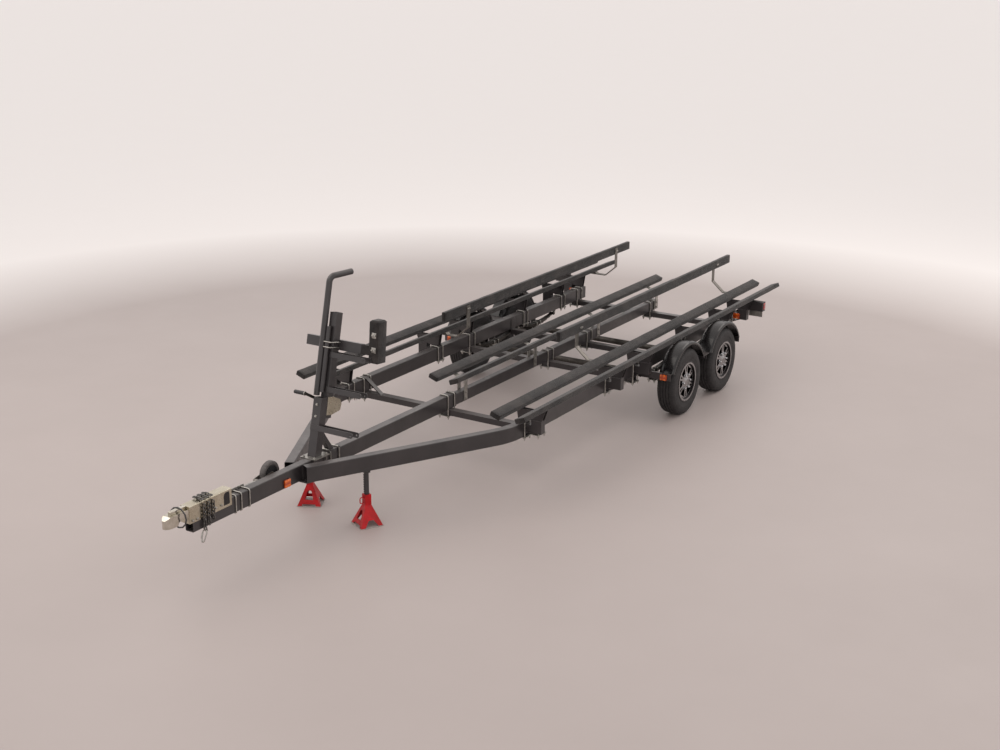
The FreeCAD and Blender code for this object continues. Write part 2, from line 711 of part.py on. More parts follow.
def make_hangers():
    pieces = []
    for side in (LEFT, RIGHT):
        pieces.append(hanger(side, s.FrontAxleAt - s.SpringReach))
        pieces.append(hanger(side, REAR_AXLE + s.SpringReach))
        pieces.append(equaliser(side))
    group(pieces, "spring_hangers")


def make_spring_clamps():
    solids = []
    spread = s.AxleTube / 2 + s.UboltRod / 2 + 1
    for side in (LEFT, RIGHT):
        x = RAIL_CENTRE * side
        for middle in (s.FrontAxleAt, REAR_AXLE):
            under = s.TyreRadius - s.AxleTube / 2
            for step in (-spread, spread):
                solids.append(ubolt(x, middle + step, s.SpringWidth, MAIN_LEAF + s.SpringLeaf + 1, under))
            solids.append(clamp_plate(x, middle, s.SpringWidth, under, spread))
            width, low = float(s.SpringWidth), float(s.TyreRadius + s.AxleTube / 4)
            corner = Vector(float(x) - width / 2, float(middle) - 25, low)
            seat = Part.makeBox(width, 50, float(SEAT_TOP) - low, corner)
            tube = Part.makeCylinder(float(s.AxleTube) / 2, width, Vector(float(x) - width / 2, float(middle),
                                     float(s.TyreRadius)), Vector(1, 0, 0))
            solids.append(seat.cut(tube))
    feature(Part.makeCompound(solids), "spring_clamps")


make_axles()
make_springs()
make_hangers()
make_spring_clamps()


# Fenders: a skin turned about each wheel's centre, with a rolled shoulder and an outer lip
def make_fenders(side, label):
    skins = []
    inner, outer = -s.FenderInside, s.FenderOutside
    top, thick = FENDER_TOP, s.FenderThickness
    for middle in (s.FrontAxleAt, REAR_AXLE):
        skin = new_body()
        over = [(inner, top - 36), (inner + 13, top - 20), (inner + 28, top - 8), (inner + 48, top),
                (outer - 16, top), (outer - 5, top - 5), (outer, top - 16), (outer, top - s.FenderLip)]
        under = [(outer - thick, top - s.FenderLip), (outer - thick, top - 15), (outer - 8, top - 8),
                 (outer - 17, top - thick), (inner + 49, top - thick), (inner + 30, top - 12),
                 (inner + 16, top - 23), (inner + thick, top - 37)]
        turned = revolve(skin, "XY", over + under, "H_Axis", 90)
        bind(turned, Angle=180 - s.FenderEndAngle * 2)
        place(skin, WHEEL_CENTRE, middle, s.TyreRadius, (1, 0, 0), s.FenderEndAngle)
        skins.append(skin)
    pair = group_parts(skins)
    if side == LEFT:
        finish(pair, label)
    else:
        mirrored = doc.addObject("Part::Mirroring", "Mirrored")
        mirrored.Source = pair
        mirrored.Normal = Vector(1, 0, 0)
        finish(mirrored, label)


def group_parts(things):
    compound = doc.addObject("Part::Compound", "Group")
    compound.Links = things
    return compound


FENDER_INSIDE = FENDER_TOP - s.FenderThickness
EDGE_RUN = FENDER_INSIDE * cosine(s.FenderEndAngle)
EDGE_LEVEL = s.TyreRadius + FENDER_INSIDE * sine(s.FenderEndAngle)
ARM_REACH = WHEEL_CENTRE + s.FenderOutside - 18 - RAIL_FACE


def notch(arm, side, start, run):
    """The flange is cut away where a fender's rolled shoulder comes down past it."""
    inner = WHEEL_CENTRE - s.FenderInside
    low_x = inner - 2 if side == LEFT else -inner - 52
    pocket(arm, "XY", EDGE_LEVEL - s.ArmThickness - 1, s.ArmThickness + 2, [rectangle(low_x, start, 54, run)])


def make_fender_arms():
    """Angle arms at the fenders' outer ends and a tee arm between them."""
    thick = s.ArmThickness
    arms = []
    for side in (LEFT, RIGHT):
        low_x = RAIL_FACE if side == LEFT else -RAIL_FACE - ARM_REACH
        for edge, ahead in ((s.FrontAxleAt - EDGE_RUN, 1), (REAR_AXLE + EDGE_RUN, -1)):
            arm = new_body()
            outline = [(edge - 24 * ahead, EDGE_LEVEL - s.ArmHeight), (edge - 24 * ahead, EDGE_LEVEL),
                       (edge + (s.ArmFlange - 24) * ahead, EDGE_LEVEL),
                       (edge + (s.ArmFlange - 24) * ahead, EDGE_LEVEL - thick),
                       (edge - (24 - thick) * ahead, EDGE_LEVEL - thick),
                       (edge - (24 - thick) * ahead, EDGE_LEVEL - s.ArmHeight)]
            pad(arm, "YZ", low_x, ARM_REACH, [outline])
            start = edge - 1 if ahead == 1 else edge - s.ArmFlange + 24
            notch(arm, side, start, s.ArmFlange - 23)
            arms.append(arm)
        tee = new_body()
        half = s.AxleSpacing / 2 - EDGE_RUN + 6
        web = thick / 2
        outline = [(AXLES_MIDDLE - half, EDGE_LEVEL), (AXLES_MIDDLE + half, EDGE_LEVEL),
                   (AXLES_MIDDLE + half, EDGE_LEVEL - thick), (AXLES_MIDDLE + web, EDGE_LEVEL - thick),
                   (AXLES_MIDDLE + web, EDGE_LEVEL - 50), (AXLES_MIDDLE - web, EDGE_LEVEL - 50),
                   (AXLES_MIDDLE - web, EDGE_LEVEL - thick), (AXLES_MIDDLE - half, EDGE_LEVEL - thick)]
        pad(tee, "YZ", low_x, ARM_REACH, [outline])
        notch(tee, side, AXLES_MIDDLE - half, term(8))
        notch(tee, side, AXLES_MIDDLE + half - 8, term(8))
        arms.append(tee)
    group(arms, "fender_arms")


make_fenders(LEFT, "fenders_left")
make_fenders(RIGHT, "fenders_right")
make_fender_arms()


# Bunks: tilted boards in pairs, their low edges together
RISE_RUN, RISE_UP = cosine(s.BunkTilt), sine(s.BunkTilt)
UNDER_RUN = s.BoardThickness * RISE_UP
UNDER_LEVEL = s.BunkLowEdge - s.BoardThickness * RISE_RUN


def board_outline(centre, gap, lean):
    """A board's section: lean is 1 for the board on the +X side of its pair, -1 for the other."""
    low_x = centre + gap / 2 * lean
    high_x = low_x + s.BoardWidth * RISE_RUN * lean
    high = s.BunkLowEdge + s.BoardWidth * RISE_UP
    return [(low_x, s.BunkLowEdge), (high_x, high),
            (high_x + UNDER_RUN * lean, high - s.BoardThickness * RISE_RUN),
            (low_x + UNDER_RUN * lean, UNDER_LEVEL)]


def underside(gap, run):
    """The height of a board's underside at a distance from its pair's middle."""
    return UNDER_LEVEL + (run - gap / 2 - UNDER_RUN) * tangent(s.BunkTilt)


def make_bunks(label, centre, gap, front, rear):
    boards = []
    for lean in (1, -1):
        board = new_body()
        pad(board, "XZ", front, rear - front, [board_outline(centre, gap, lean)])
        boards.append(board)
    group(boards, label)


def make_side_brackets():
    """Foot plate on the rail, outrigger on its face, and two clip plates up to the boards."""
    brackets = []
    gap = s.SideBunkGap
    for side in (LEFT, RIGHT):
        middle = s.SideBunkOffset
        for place_y, outrigger, bolted in SIDE_BRACKETS:
            bracket = new_body()
            foot = s.FootReach if bolted else s.ShortFootReach
            foot_top = RAIL_TOP + s.FootPlate
            near, far = (RAIL_CENTRE - 28) * side, (RAIL_CENTRE + 28) * side
            pad(bracket, "XZ", place_y - foot, foot * 2,
                [[(near, RAIL_TOP), (far, RAIL_TOP), (far, foot_top), (near, foot_top)]])
            run = term(140)
            lowest = gap / 2 + UNDER_RUN
            reach = RAIL_FACE + s.OutriggerReach
            block_near = reach - s.EndBlockLength
            upper = [((middle + run) * side, underside(gap, run)), ((middle + lowest) * side, UNDER_LEVEL),
                     ((middle - lowest) * side, UNDER_LEVEL), ((middle - run) * side, underside(gap, run))]
            lower = [(near, foot_top), (far, foot_top)]
            if outrigger:
                lower += [(block_near * side, s.EndBlockTop), (reach * side, s.EndBlockTop)]
            for step in (-s.ClipSpread, s.ClipSpread):
                pad(bracket, "XZ", place_y + step - s.ClipPlate / 2, s.ClipPlate, [lower + upper])
            if outrigger:
                depth = s.OutriggerDepth
                face = RAIL_FACE * side
                pad(bracket, "XZ", place_y - depth / 2, depth,
                    [[(face, s.OutriggerLow), (reach * side, s.OutriggerLow), (reach * side, s.EndBlockTop),
                      (block_near * side, s.EndBlockTop), (block_near * side, s.OutriggerHigh),
                      (face, s.OutriggerHigh)]])
                low = s.RailBottom + s.CornerRadius
                pad(bracket, "XZ", place_y - depth / 4, depth / 2,
                    [[(face, low), (face, low + 12), (face + 70 * side, s.OutriggerLow),
                      (face + 94 * side, s.OutriggerLow)]])
            brackets.append(bracket)
    group(brackets, "side_bunk_brackets")


def make_centre_brackets():
    """Straps bolted to the centre tube's sides, bent out under the boards."""
    straps = []
    gap = s.CentreBunkGap
    for side in (LEFT, RIGHT):
        for place_y in CENTRE_BRACKETS:
            strap = new_body()
            face = s.CentreTubeWidth / 2
            outer = face + s.StrapThickness
            run = term(128)
            drop = s.StrapThickness / RISE_RUN
            outline = [(face * side, CENTRE_BOTTOM + 12), (outer * side, CENTRE_BOTTOM + 12),
                       (outer * side, underside(gap, outer) - drop), (run * side, underside(gap, run) - drop),
                       (run * side, underside(gap, run)), (face * side, underside(gap, face))]
            pad(strap, "XZ", place_y - s.StrapWidth / 2, s.StrapWidth, [outline])
            straps.append(strap)
    group(straps, "centre_bunk_brackets")


def make_guides():
    """Boards on edge beside the floats, and the bent straps that hold them up."""
    boards, straps = [], []
    gap = s.SideBunkGap
    for side in (LEFT, RIGHT):
        low_x = s.GuideOffset * side - s.GuideThickness / 2
        boards.append(block(s.GuideThickness, s.GuideRearAt - s.GuideFrontAt, s.GuideHeight,
                            (low_x, s.GuideFrontAt, s.GuideTop - s.GuideHeight)))
        face = s.GuideOffset - s.GuideThickness / 2
        back = face - s.GuideStrap
        foot = s.SideBunkOffset - gap / 2 - UNDER_RUN
        middle = s.SideBunkOffset
        outline = [(face, s.GuideTop - 14), (face, term(803)), (term(716), term(697)), (foot - 104, term(697)),
                   (foot - 81, underside(gap, middle - foot + 81)),
                   (foot - 26, underside(gap, middle - foot + 26)), (foot - 26, term(689)),
                   (term(712), term(689)), (back, term(798)), (back, s.GuideTop - 14)]
        for place_y in (s.GuideStrapFront, s.GuideStrapRear):
            strap = new_body()
            pad(strap, "XZ", place_y - s.StrapWidth / 2, s.StrapWidth, [[(u * side, v) for u, v in outline]])
            straps.append(strap)
    group(boards, "guide_boards")
    group(straps, "guide_brackets")


for label, centre, gap, front, rear in (
        ("bunks_left", s.SideBunkOffset, s.SideBunkGap, s.SideBunkFrontAt, s.SideBunkRearAt),
        ("bunks_centre", term(0), s.CentreBunkGap, s.CentreBunkFrontAt, s.CentreBunkRearAt),
        ("bunks_right", -s.SideBunkOffset, s.SideBunkGap, s.SideBunkFrontAt, s.SideBunkRearAt)):
    make_bunks(label, centre, gap, front, rear)
make_side_brackets()
make_centre_brackets()
make_guides()


# Mast. Its pieces are drawn upright from the foot's front edge, then leaned back together.
FOOT_LEVEL = RAIL_TOP + s.MastPlate


def lean(thing):
    return place(thing, term(0), s.MastFootAt, FOOT_LEVEL, (1, 0, 0), -s.MastLean)


def leaned(y, z):
    """Where a point of the upright mast lies once the mast leans."""
    run, up = cosine(s.MastLean), sine(s.MastLean)
    return s.MastFootAt + y * run + z * up, FOOT_LEVEL + z * run - y * up


def mast_tube(label, width, near, depth, wall, bottom_near, bottom_far, top, extra=None):
    body = new_body()
    pad(body, "YZ", -width / 2, width,
        [[(near, bottom_near), (near + depth, bottom_far), (near + depth, top), (near, top)]])
    inner = width / 2 - wall
    pocket(body, "XY", term(-10), top + 20,
           [[(-inner, near + wall), (inner, near + wall), (inner, near + depth - wall),
             (-inner, near + depth - wall)]])
    pieces = [body] + (extra or [])
    return finish(lean(fuse(pieces) if extra else body), label)


def make_mast():
    foot_far = s.MastWidth * tangent(s.MastLean)
    mast_tube("mast_lower", s.MastWidth, term(0), s.MastWidth, s.MastWall, term(0), foot_far,
              s.LowerMastLength)
    slide = rod(s.SlideTube / 2, s.SlideTubeTop - s.SlideTubeBottom,
                (s.SlideTube / 2 - s.UpperMastWidth / 2, s.MastWidth - s.SlideTube / 2, s.SlideTubeBottom))
    mast_tube("mast_upper", s.UpperMastWidth, s.MastWidth, s.UpperMastDepth, s.MastWall,
              s.UpperMastBottom, s.UpperMastBottom, s.UpperMastTop, [slide])


def make_steps():
    """Forks of two flat arms each, front and back of the mast, with a hole at the ends."""
    forks = []
    upper = (s.UpperMastWidth, s.MastWidth, s.MastWidth + s.UpperMastDepth, True)
    for level, (width, front, back, beside_slide) in (
            (s.LowStep, (s.MastWidth, term(0), s.MastWidth, False)), (s.MidStep, upper), (s.HighStep, upper)):
        tip = s.MastWidth / 2 + s.StepReach - (s.MastWidth - width) * 1.5
        for start, near in ((front - s.StepPlate, beside_slide), (back, False)):
            arm = new_body()
            low_x = s.SlideTube - width / 2 + 1 if near else -width / 2
            pad(arm, "XZ", start, s.StepPlate,
                [[(low_x, level - s.StepHeight / 2), (tip - 10, level - s.StepHeight / 2),
                  (tip, level - s.StepHeight / 2 + 10), (tip, level + s.StepHeight / 2 - 10),
                  (tip - 10, level + s.StepHeight / 2), (low_x, level + s.StepHeight / 2)],
                 ("circle", tip - 20, level, s.StepHole)])
            forks.append(lean(arm))
    group(forks, "mast_steps")


def make_pole():
    """A grab pole beside the mast, bent rearwards and a little to the left at its top."""
    x = float(-(s.UpperMastWidth / 2 + s.PoleRadius))
    y = float(s.MastWidth - s.PoleRadius)
    bend = float(s.PoleBend)
    foot, top = Vector(x, y, float(s.PoleBottom)), Vector(x, y, float(s.PoleTop) - bend)
    swing = math.radians(float(s.PoleSwing))
    turn = math.radians(90 - float(s.MastLean) * math.cos(swing))
    back, up = Vector(math.sin(swing), math.cos(swing), 0), Vector(0, 0, 1)
    centre = top + back * bend
    middle = centre + (up * math.sin(turn / 2) - back * math.cos(turn / 2)) * bend
    end = centre + (up * math.sin(turn) - back * math.cos(turn)) * bend
    grip = end + (back * math.sin(turn) + up * math.cos(turn)) * float(s.PoleGrip)
    line = [Part.LineSegment(foot, top), Part.Arc(top, middle, end), Part.LineSegment(end, grip)]
    wire = Part.Wire([piece.toShape() for piece in line])
    profile = Part.Wire(Part.makeCircle(float(s.PoleRadius), foot, up))
    lean(feature(wire.makePipeShell([profile], True, False), "grab_pole"))


def make_crossbar():
    bar = new_body("bow_crossbar")
    near = s.MastWidth + s.UpperMastDepth
    wall = s.WinchPlate
    low = s.CrossbarLevel - s.CrossbarHeight / 2
    pad(bar, "YZ", -s.CrossbarRight, s.CrossbarRight + s.CrossbarLeft,
        [rectangle(near, low, s.CrossbarDepth, s.CrossbarHeight),
         rectangle(near + wall, low + wall, s.CrossbarDepth - wall * 2, s.CrossbarHeight - wall * 2)])
    lean(bar)


def make_pads():
    """A carpeted block, nearly upright, on the plate at the crossbar's end."""
    tilt = s.MastLean - s.PadLean
    wide, deep, high = (float(size) for size in (s.PadWidth, s.PadThickness, s.PadHeight))
    board = Part.makeBox(wide, deep, high, Vector(-wide / 2, -deep / 2, -high / 2))
    slopes = [edge for edge in board.Edges if edge.CenterOfMass.z > high / 2 - 1]
    board = board.makeChamfer(float(s.PadChamfer), slopes)
    board.rotate(Vector(0, 0, 0), Vector(1, 0, 0), float(tilt))
    board.translate(Vector(float(s.PadOffset), float(s.PadDepth), float(s.PadLevel)))
    near = s.MastWidth + s.UpperMastDepth
    bar_low = float(s.CrossbarLevel - s.CrossbarHeight / 2)
    tongue = Part.makeBox(float(s.PadOffset - s.CrossbarLeft), float(s.CrossbarDepth) - 4,
                          float(s.CrossbarHeight) - 4,
                          Vector(float(s.CrossbarLeft), float(near) + 2, bar_low + 2))
    whole = Part.makeCompound([board, tongue.cut(board)])
    lean(feature(whole, "bow_pad"))


def make_winch():
    """Side plates on the mast with the strap drum between them, and the crank on its shaft."""
    near = s.MastWidth + 8
    far = s.MastWidth + s.UpperMastDepth
    depth, level = s.DrumDepth, s.DrumLevel
    outline = [(near, level - 70), (far, level - 70), (depth + 45, level - 36), (depth + 54, level + 14),
               (depth + 30, level + 50), (far, level + 72), (near, level + 72)]
    frame = []
    half = s.UpperMastWidth / 2
    for start in (half, -half - s.WinchPlate):
        plate = new_body()
        pad(plate, "YZ", start, s.WinchPlate, [outline])
        frame.append(plate)
    frame.append(rod(s.WinchDrum, half * 2, (-half, depth, level), "x"))
    for start in (-half, half - s.WinchPlate):
        frame.append(rod(s.WinchFlange, s.WinchPlate, (start, depth, level), "x"))
    finish(lean(fuse(frame)), "winch_frame")
    outer = half + s.WinchPlate
    arm = new_body()
    slope = math.degrees(math.atan2(float(s.CrankRise), float(s.CrankReach)))
    flat_y, flat_z = s.CrankFlat / 2 * sine(slope), s.CrankFlat / 2 * cosine(slope)
    tip_y, tip_z = depth - s.CrankReach, level + s.CrankRise
    pad(arm, "YZ", -s.CrankOffset - 8, term(8),
        [[(depth + 12, level - flat_z - 4), (tip_y - flat_y, tip_z - flat_z), (tip_y - 12, tip_z),
          (tip_y + flat_y, tip_z + flat_z), (depth + 12, level + flat_z - 4)]])
    shaft = rod(term(10), s.CrankOffset - outer, (-s.CrankOffset, depth, level), "x")
    grip = rod(s.GripRadius, s.CrankGrip, (-s.CrankOffset - 8 - s.CrankGrip, tip_y, tip_z), "x")
    finish(lean(fuse([arm, shaft, grip])), "winch_crank")


def make_mast_base():
    """Plates over and under the tongue round the mast's foot, and the bolts through both."""
    top, low = RAIL_TOP, s.RailBottom - s.MastPlate
    front, deep, half = s.MastFootAt - 43, term(175), s.MastWidth
    pieces = [block(half * 2, deep, s.MastPlate, (-half, front, top)),
              block(half * 2, deep, s.MastPlate, (-half, front, low))]
    for x in (s.RailWidth / 2 + 13, -s.RailWidth / 2 - 13):
        for y in (front + 16, front + deep - 16):
            pieces.append(rod(s.UboltRod / 2, s.RailHeight + s.MastPlate * 2 + 30, (x, y, low - 16)))
    fuse(pieces, "mast_base")


def make_mast_brace():
    """A strut from a foot on the tongue to the back of the mast, and the foot's bolts."""
    strut = new_body()
    foot_front, foot_rear = term(-2340), term(-2200)
    pad(strut, "XZ", foot_front, foot_rear - foot_front,
        [rectangle(-s.RailWidth / 2, RAIL_TOP, s.RailWidth, s.MastPlate)])
    low = leaned(s.MastWidth, term(165))
    high = leaned(s.MastWidth, term(205))
    pad(strut, "YZ", term(-22), term(44),
        [[(term(-2312), FOOT_LEVEL), (term(-2262), FOOT_LEVEL), high, low]])
    solids = []
    for y in (foot_front + 12, foot_rear - 20):
        solids.append(ubolt(term(0), y, s.RailWidth, FOOT_LEVEL, s.RailBottom))
        solids.append(clamp_plate(term(0), y, s.RailWidth, s.RailBottom))
    bolts = doc.addObject("Part::Feature", "BraceBolts")
    bolts.Shape = Part.makeCompound(solids)
    group([strut, bolts], "mast_brace")


make_mast()
make_steps()
make_pole()
make_crossbar()
make_pads()
make_winch()
make_mast_base()
make_mast_brace()


# Coupler, brake housing, chains
def make_housing():
    """An upturned channel over the tongue's front end, closed at the front."""
    housing = new_body("actuator_housing")
    half = s.RailWidth / 2 + s.HousingWall
    length = s.HousingRearAt - s.HousingFrontAt
    pad(housing, "XZ", s.HousingFrontAt, length,
        [rectangle(-half, s.HousingBottom, half * 2, s.HousingTop - s.HousingBottom)])
    pocket(housing, "XZ", s.HousingFrontAt + s.HousingWall, length,
           [rectangle(-s.RailWidth / 2, s.HousingBottom - 1, s.RailWidth,
                      s.HousingTop - s.HousingWall - s.HousingBottom + 1)])
    rear = s.HousingRearAt
    low, high = s.HousingTop - s.SlotDrop - s.SlotHeight, s.HousingTop - s.SlotDrop
    pocket(housing, "YZ", -half - 1, half * 2 + 2,
           [[(rear - 48, low), (rear - 22, low), (rear - 22, high - 10), (rear - 28, high),
             (rear - 42, high), (rear - 48, high - 10)]])

    def top_corner(edge):
        point = edge.Vertexes[0].Point
        return lies_along(edge, 1) and point.z > float(s.HousingTop) - 0.01

    round_edges(housing, s.CornerRadius, top_corner)


def make_coupler():
    """The coupler's head, a block with a rounded nose and a socket for the ball beneath."""
    head = new_body()
    half, nose = s.CouplerWidth / 2, s.CouplerNoseAt
    plan = [(-half, s.HousingFrontAt), (-half, nose + 42), (-half + 8, nose + 19), (-half + 22, nose + 4),
            (-half / 3, nose), (half / 3, nose), (half - 22, nose + 4), (half - 8, nose + 19),
            (half, nose + 42), (half, s.HousingFrontAt)]
    pad(head, "XY", s.CouplerBottom, s.CouplerTop - s.CouplerBottom, [plan])
    pocket(head, "YZ", -half - 1, half * 2 + 2,
           [[(nose - 1, s.CouplerTop + 1), (nose - 1, s.CouplerTop - 24), (nose + 34, s.CouplerTop + 1)]])
    pocket(head, "YZ", -half - 1, half * 2 + 2,
           [[(nose + 96, s.CouplerBottom - 1), (nose + 116, s.CouplerBottom + 26),
             (s.HousingFrontAt + 1, s.CouplerBottom + 26), (s.HousingFrontAt + 1, s.CouplerBottom - 1)]])
    ball = doc.addObject("Part::Sphere", "Ball")
    bind(ball, Radius=s.BallRadius)
    place(ball, term(0), nose + 45, s.BallLevel)
    throat = rod(s.BallRadius, s.BallLevel - s.CouplerBottom + 1, (term(0), nose + 45, s.CouplerBottom - 1))
    cut(head, [ball, throat], "coupler_head")


def make_latch():
    """The latch lever on the coupler with its pull ring round the neck."""
    lever = new_body()
    nose = s.CouplerNoseAt
    top = s.CouplerTop
    pad(lever, "YZ", term(-13), term(26),
        [[(nose + 60, top), (nose + 204, top), (nose + 204, top + 16), (nose + 176, top + 24),
          (nose + 110, top + 24), (nose + 78, top + 16)]])
    radius, rod_size = float(s.RingRadius), float(s.RingRod)
    level = float(top) + 24 - (radius - rod_size / 2) - float(s.UboltGap)
    y = float(nose) + 142
    points = []
    for number in range(12):
        angle = math.radians(30 * number)
        points.append((radius * math.sin(angle), y, level + radius * math.cos(angle)))
    ring = doc.addObject("Part::Feature", "Ring")
    ring.Shape = bent_bar(points, s.RingRod, closed=True)
    group([lever, ring], "coupler_latch")


def link(middle, along, across, length, width, rod_size):
    """One chain link, a closed loop of square bar with cut corners."""
    half_run = (length - rod_size) / 2
    half_wide = (width - rod_size) / 2
    bevel = half_wide * 0.68
    outline = [(half_run, -half_wide + bevel), (half_run, half_wide - bevel), (half_run - bevel, half_wide),
               (-half_run + bevel, half_wide), (-half_run, half_wide - bevel), (-half_run, -half_wide + bevel),
               (-half_run + bevel, -half_wide), (half_run - bevel, -half_wide)]
    points = [middle + along * u + across * v for u, v in outline]
    return bent_bar([tuple(point) for point in points], rod_size, closed=True, sides=4)


def make_chains():
    """Two chains laid over the brake housing, each hanging down both its sides."""
    links, hooks = [], []
    length, width, rod_size = float(s.LinkLength), float(s.LinkWidth), float(s.ChainRod)
    pitch = length - rod_size * 2 - float(s.UboltGap)
    side_x = float(s.RailWidth / 2 + s.HousingWall) + width / 2 + 0.3
    top = float(s.HousingTop) + width / 2 + 0.3
    runs = ((float(s.ChainFrontAt), (7, 4), LEFT), (float(s.ChainFrontAt + s.ChainRearAt) / 2, (6, 5), None),
            (float(s.ChainRearAt), (5, 7), RIGHT))
    for middle, counts, hook_side in runs:
        for number in (-1, 0, 1):
            across = Vector(0, 0, 1) if number == 0 else Vector(0, 1, 0)
            links.append(link(Vector(number * pitch, middle, top), Vector(1, 0, 0), across, length,
                              width, rod_size))
        for side, count in ((LEFT, counts[0]), (RIGHT, counts[1])):
            for number in range(count):
                across = Vector(1, 0, 0) if number % 2 == 0 else Vector(0, 1, 0)
                level = float(s.ChainTop) - length / 2 - pitch * number
                links.append(link(Vector(side * side_x, middle, level), Vector(0, 0, 1), across, length, width,
                                  rod_size))
            if side == hook_side:
                last = float(s.ChainTop) - length / 2 - pitch * (count - 1)
                reach = float(s.HookLength)
                middle_z = last - length / 2 + rod_size + rod_size + 0.3 - reach / 2
                across = Vector(0, 1, 0) if count % 2 == 1 else Vector(1, 0, 0)
                hooks.append(link(Vector(side * side_x, middle, middle_z), Vector(0, 0, 1), across,
                                  reach, 36, rod_size))
    feature(Part.makeCompound(links), "safety_chains")
    feature(Part.makeCompound(hooks), "chain_hooks")


def make_tongue_ubolts():
    """Bolts round the tongue from its left side, their legs out through the jack's plate."""
    solids = []
    near = s.RailWidth / 2 + s.UboltRod / 2 + s.UboltGap
    high = RAIL_TOP + s.UboltRod / 2 + s.UboltGap
    low = s.RailBottom - s.UboltRod / 2 - s.UboltGap
    far = -(s.RailWidth / 2 + s.JackPlate + s.UboltTail - 6)
    for y in (-3410, -3350, -3262):
        solids.append(bent_bar([(far, y, low), (near, y, low), (near, y, high), (far, y, high)], s.UboltRod))
    feature(Part.makeCompound(solids), "tongue_ubolts")


make_housing()
make_coupler()
make_latch()
make_chains()
make_tongue_ubolts()


# Swivel jack, folded up along the tongue's right side
def make_jack():
    side_x = -s.RailWidth / 2
    plate = new_body()
    pad(plate, "YZ", side_x - s.JackPlate, s.JackPlate,
        [rectangle(term(-3438), s.RailBottom - 20, term(206), s.RailHeight + 40)]
        + [("circle", term(y), level, s.UboltRod / 2 + s.UboltGap)
           for y in (-3410, -3350, -3262)
           for level in (RAIL_TOP + s.UboltRod / 2 + s.UboltGap, s.RailBottom - s.UboltRod / 2 - s.UboltGap)])
    tube_side = -s.JackOffset + s.JackTube / 2
    pin_start = tube_side + 4
    pin = rod(s.PivotPin, side_x - s.JackPlate - pin_start, (pin_start, s.JackPivotAt, s.JackLevel), "x")
    fuse([plate, pin], "jack_mount")

    x, z = -s.JackOffset, s.JackLevel
    tube = rod(s.JackTube / 2, s.JackFront + s.JackRear, (x, s.JackPivotAt - s.JackFront, z), "y")
    head = rod(s.JackTube / 2 + 5, term(34), (x, s.JackPivotAt - s.JackFront - 10, z), "y")
    inner = rod(s.JackInner / 2, s.JackInnerRear - s.JackRear, (x, s.JackPivotAt + s.JackRear, z), "y")
    collar = rod(s.PivotRadius, term(30) + 6, (x + s.JackTube / 2 - 6, s.JackPivotAt, z), "x")
    bore = rod(s.PivotPin + s.BearingGap, term(40), (pin_start - 1, s.JackPivotAt, s.JackLevel), "x")
    cut(fuse([tube, head, inner, collar]), [bore], "jack_leg")

    wheel_y, wheel_z = s.JackPivotAt + s.JackWheelReach, s.JackLevel + s.JackTrail
    end = s.JackPivotAt + s.JackInnerRear
    apart = s.JackWheelWidth / 2 + s.ForkGap
    pieces = [block((apart + s.ForkPlate) * 2, term(8), term(50), (-s.JackOffset - apart - s.ForkPlate, end,
                                                                  s.JackLevel - 25))]
    for start in (-s.JackOffset + apart, -s.JackOffset - apart - s.ForkPlate):
        cheek = new_body()
        pad(cheek, "YZ", start, s.ForkPlate,
            [[(end, s.JackLevel - 25), (end, s.JackLevel + 25), (wheel_y - 10, wheel_z + 18),
              (wheel_y + 16, wheel_z + 10), (wheel_y + 16, wheel_z - 12), (wheel_y - 6, wheel_z - 20)]])
        pieces.append(cheek)
    pieces.append(rod(s.EyePin, apart * 2, (-s.JackOffset - apart, wheel_y, wheel_z), "x"))
    fuse(pieces, "jack_fork")

    wheel = new_body("jack_wheel")
    half, radius = s.JackWheelWidth / 2, s.JackWheelRadius
    revolve(wheel, "XY", [(-half - 4, s.EyePin + s.BearingGap), (-half - 4, term(20)), (-half + 8, term(22)),
                          (-half + 8, radius - 34), (-half, radius - 26), (-half, radius - 8), (-half + 9, radius),
                          (half - 9, radius), (half, radius - 8), (half, radius - 26), (half - 8, radius - 34),
                          (half - 8, term(22)), (half + 4, term(20)), (half + 4, s.EyePin + s.BearingGap)], "H_Axis")
    place(wheel, -s.JackOffset, wheel_y, wheel_z)

    start = s.JackPivotAt - s.JackFront - 10
    pieces = [rod(term(9), term(22), (-s.JackOffset, start - 22, s.JackLevel), "y"),
              block(term(122), term(7), term(20), (-s.JackOffset - 110, start - 29, s.JackLevel - 10)),
              rod(term(12), term(70), (-s.JackOffset - 98, start - 29 - 70, s.JackLevel), "y")]
    fuse(pieces, "jack_crank")


make_jack()


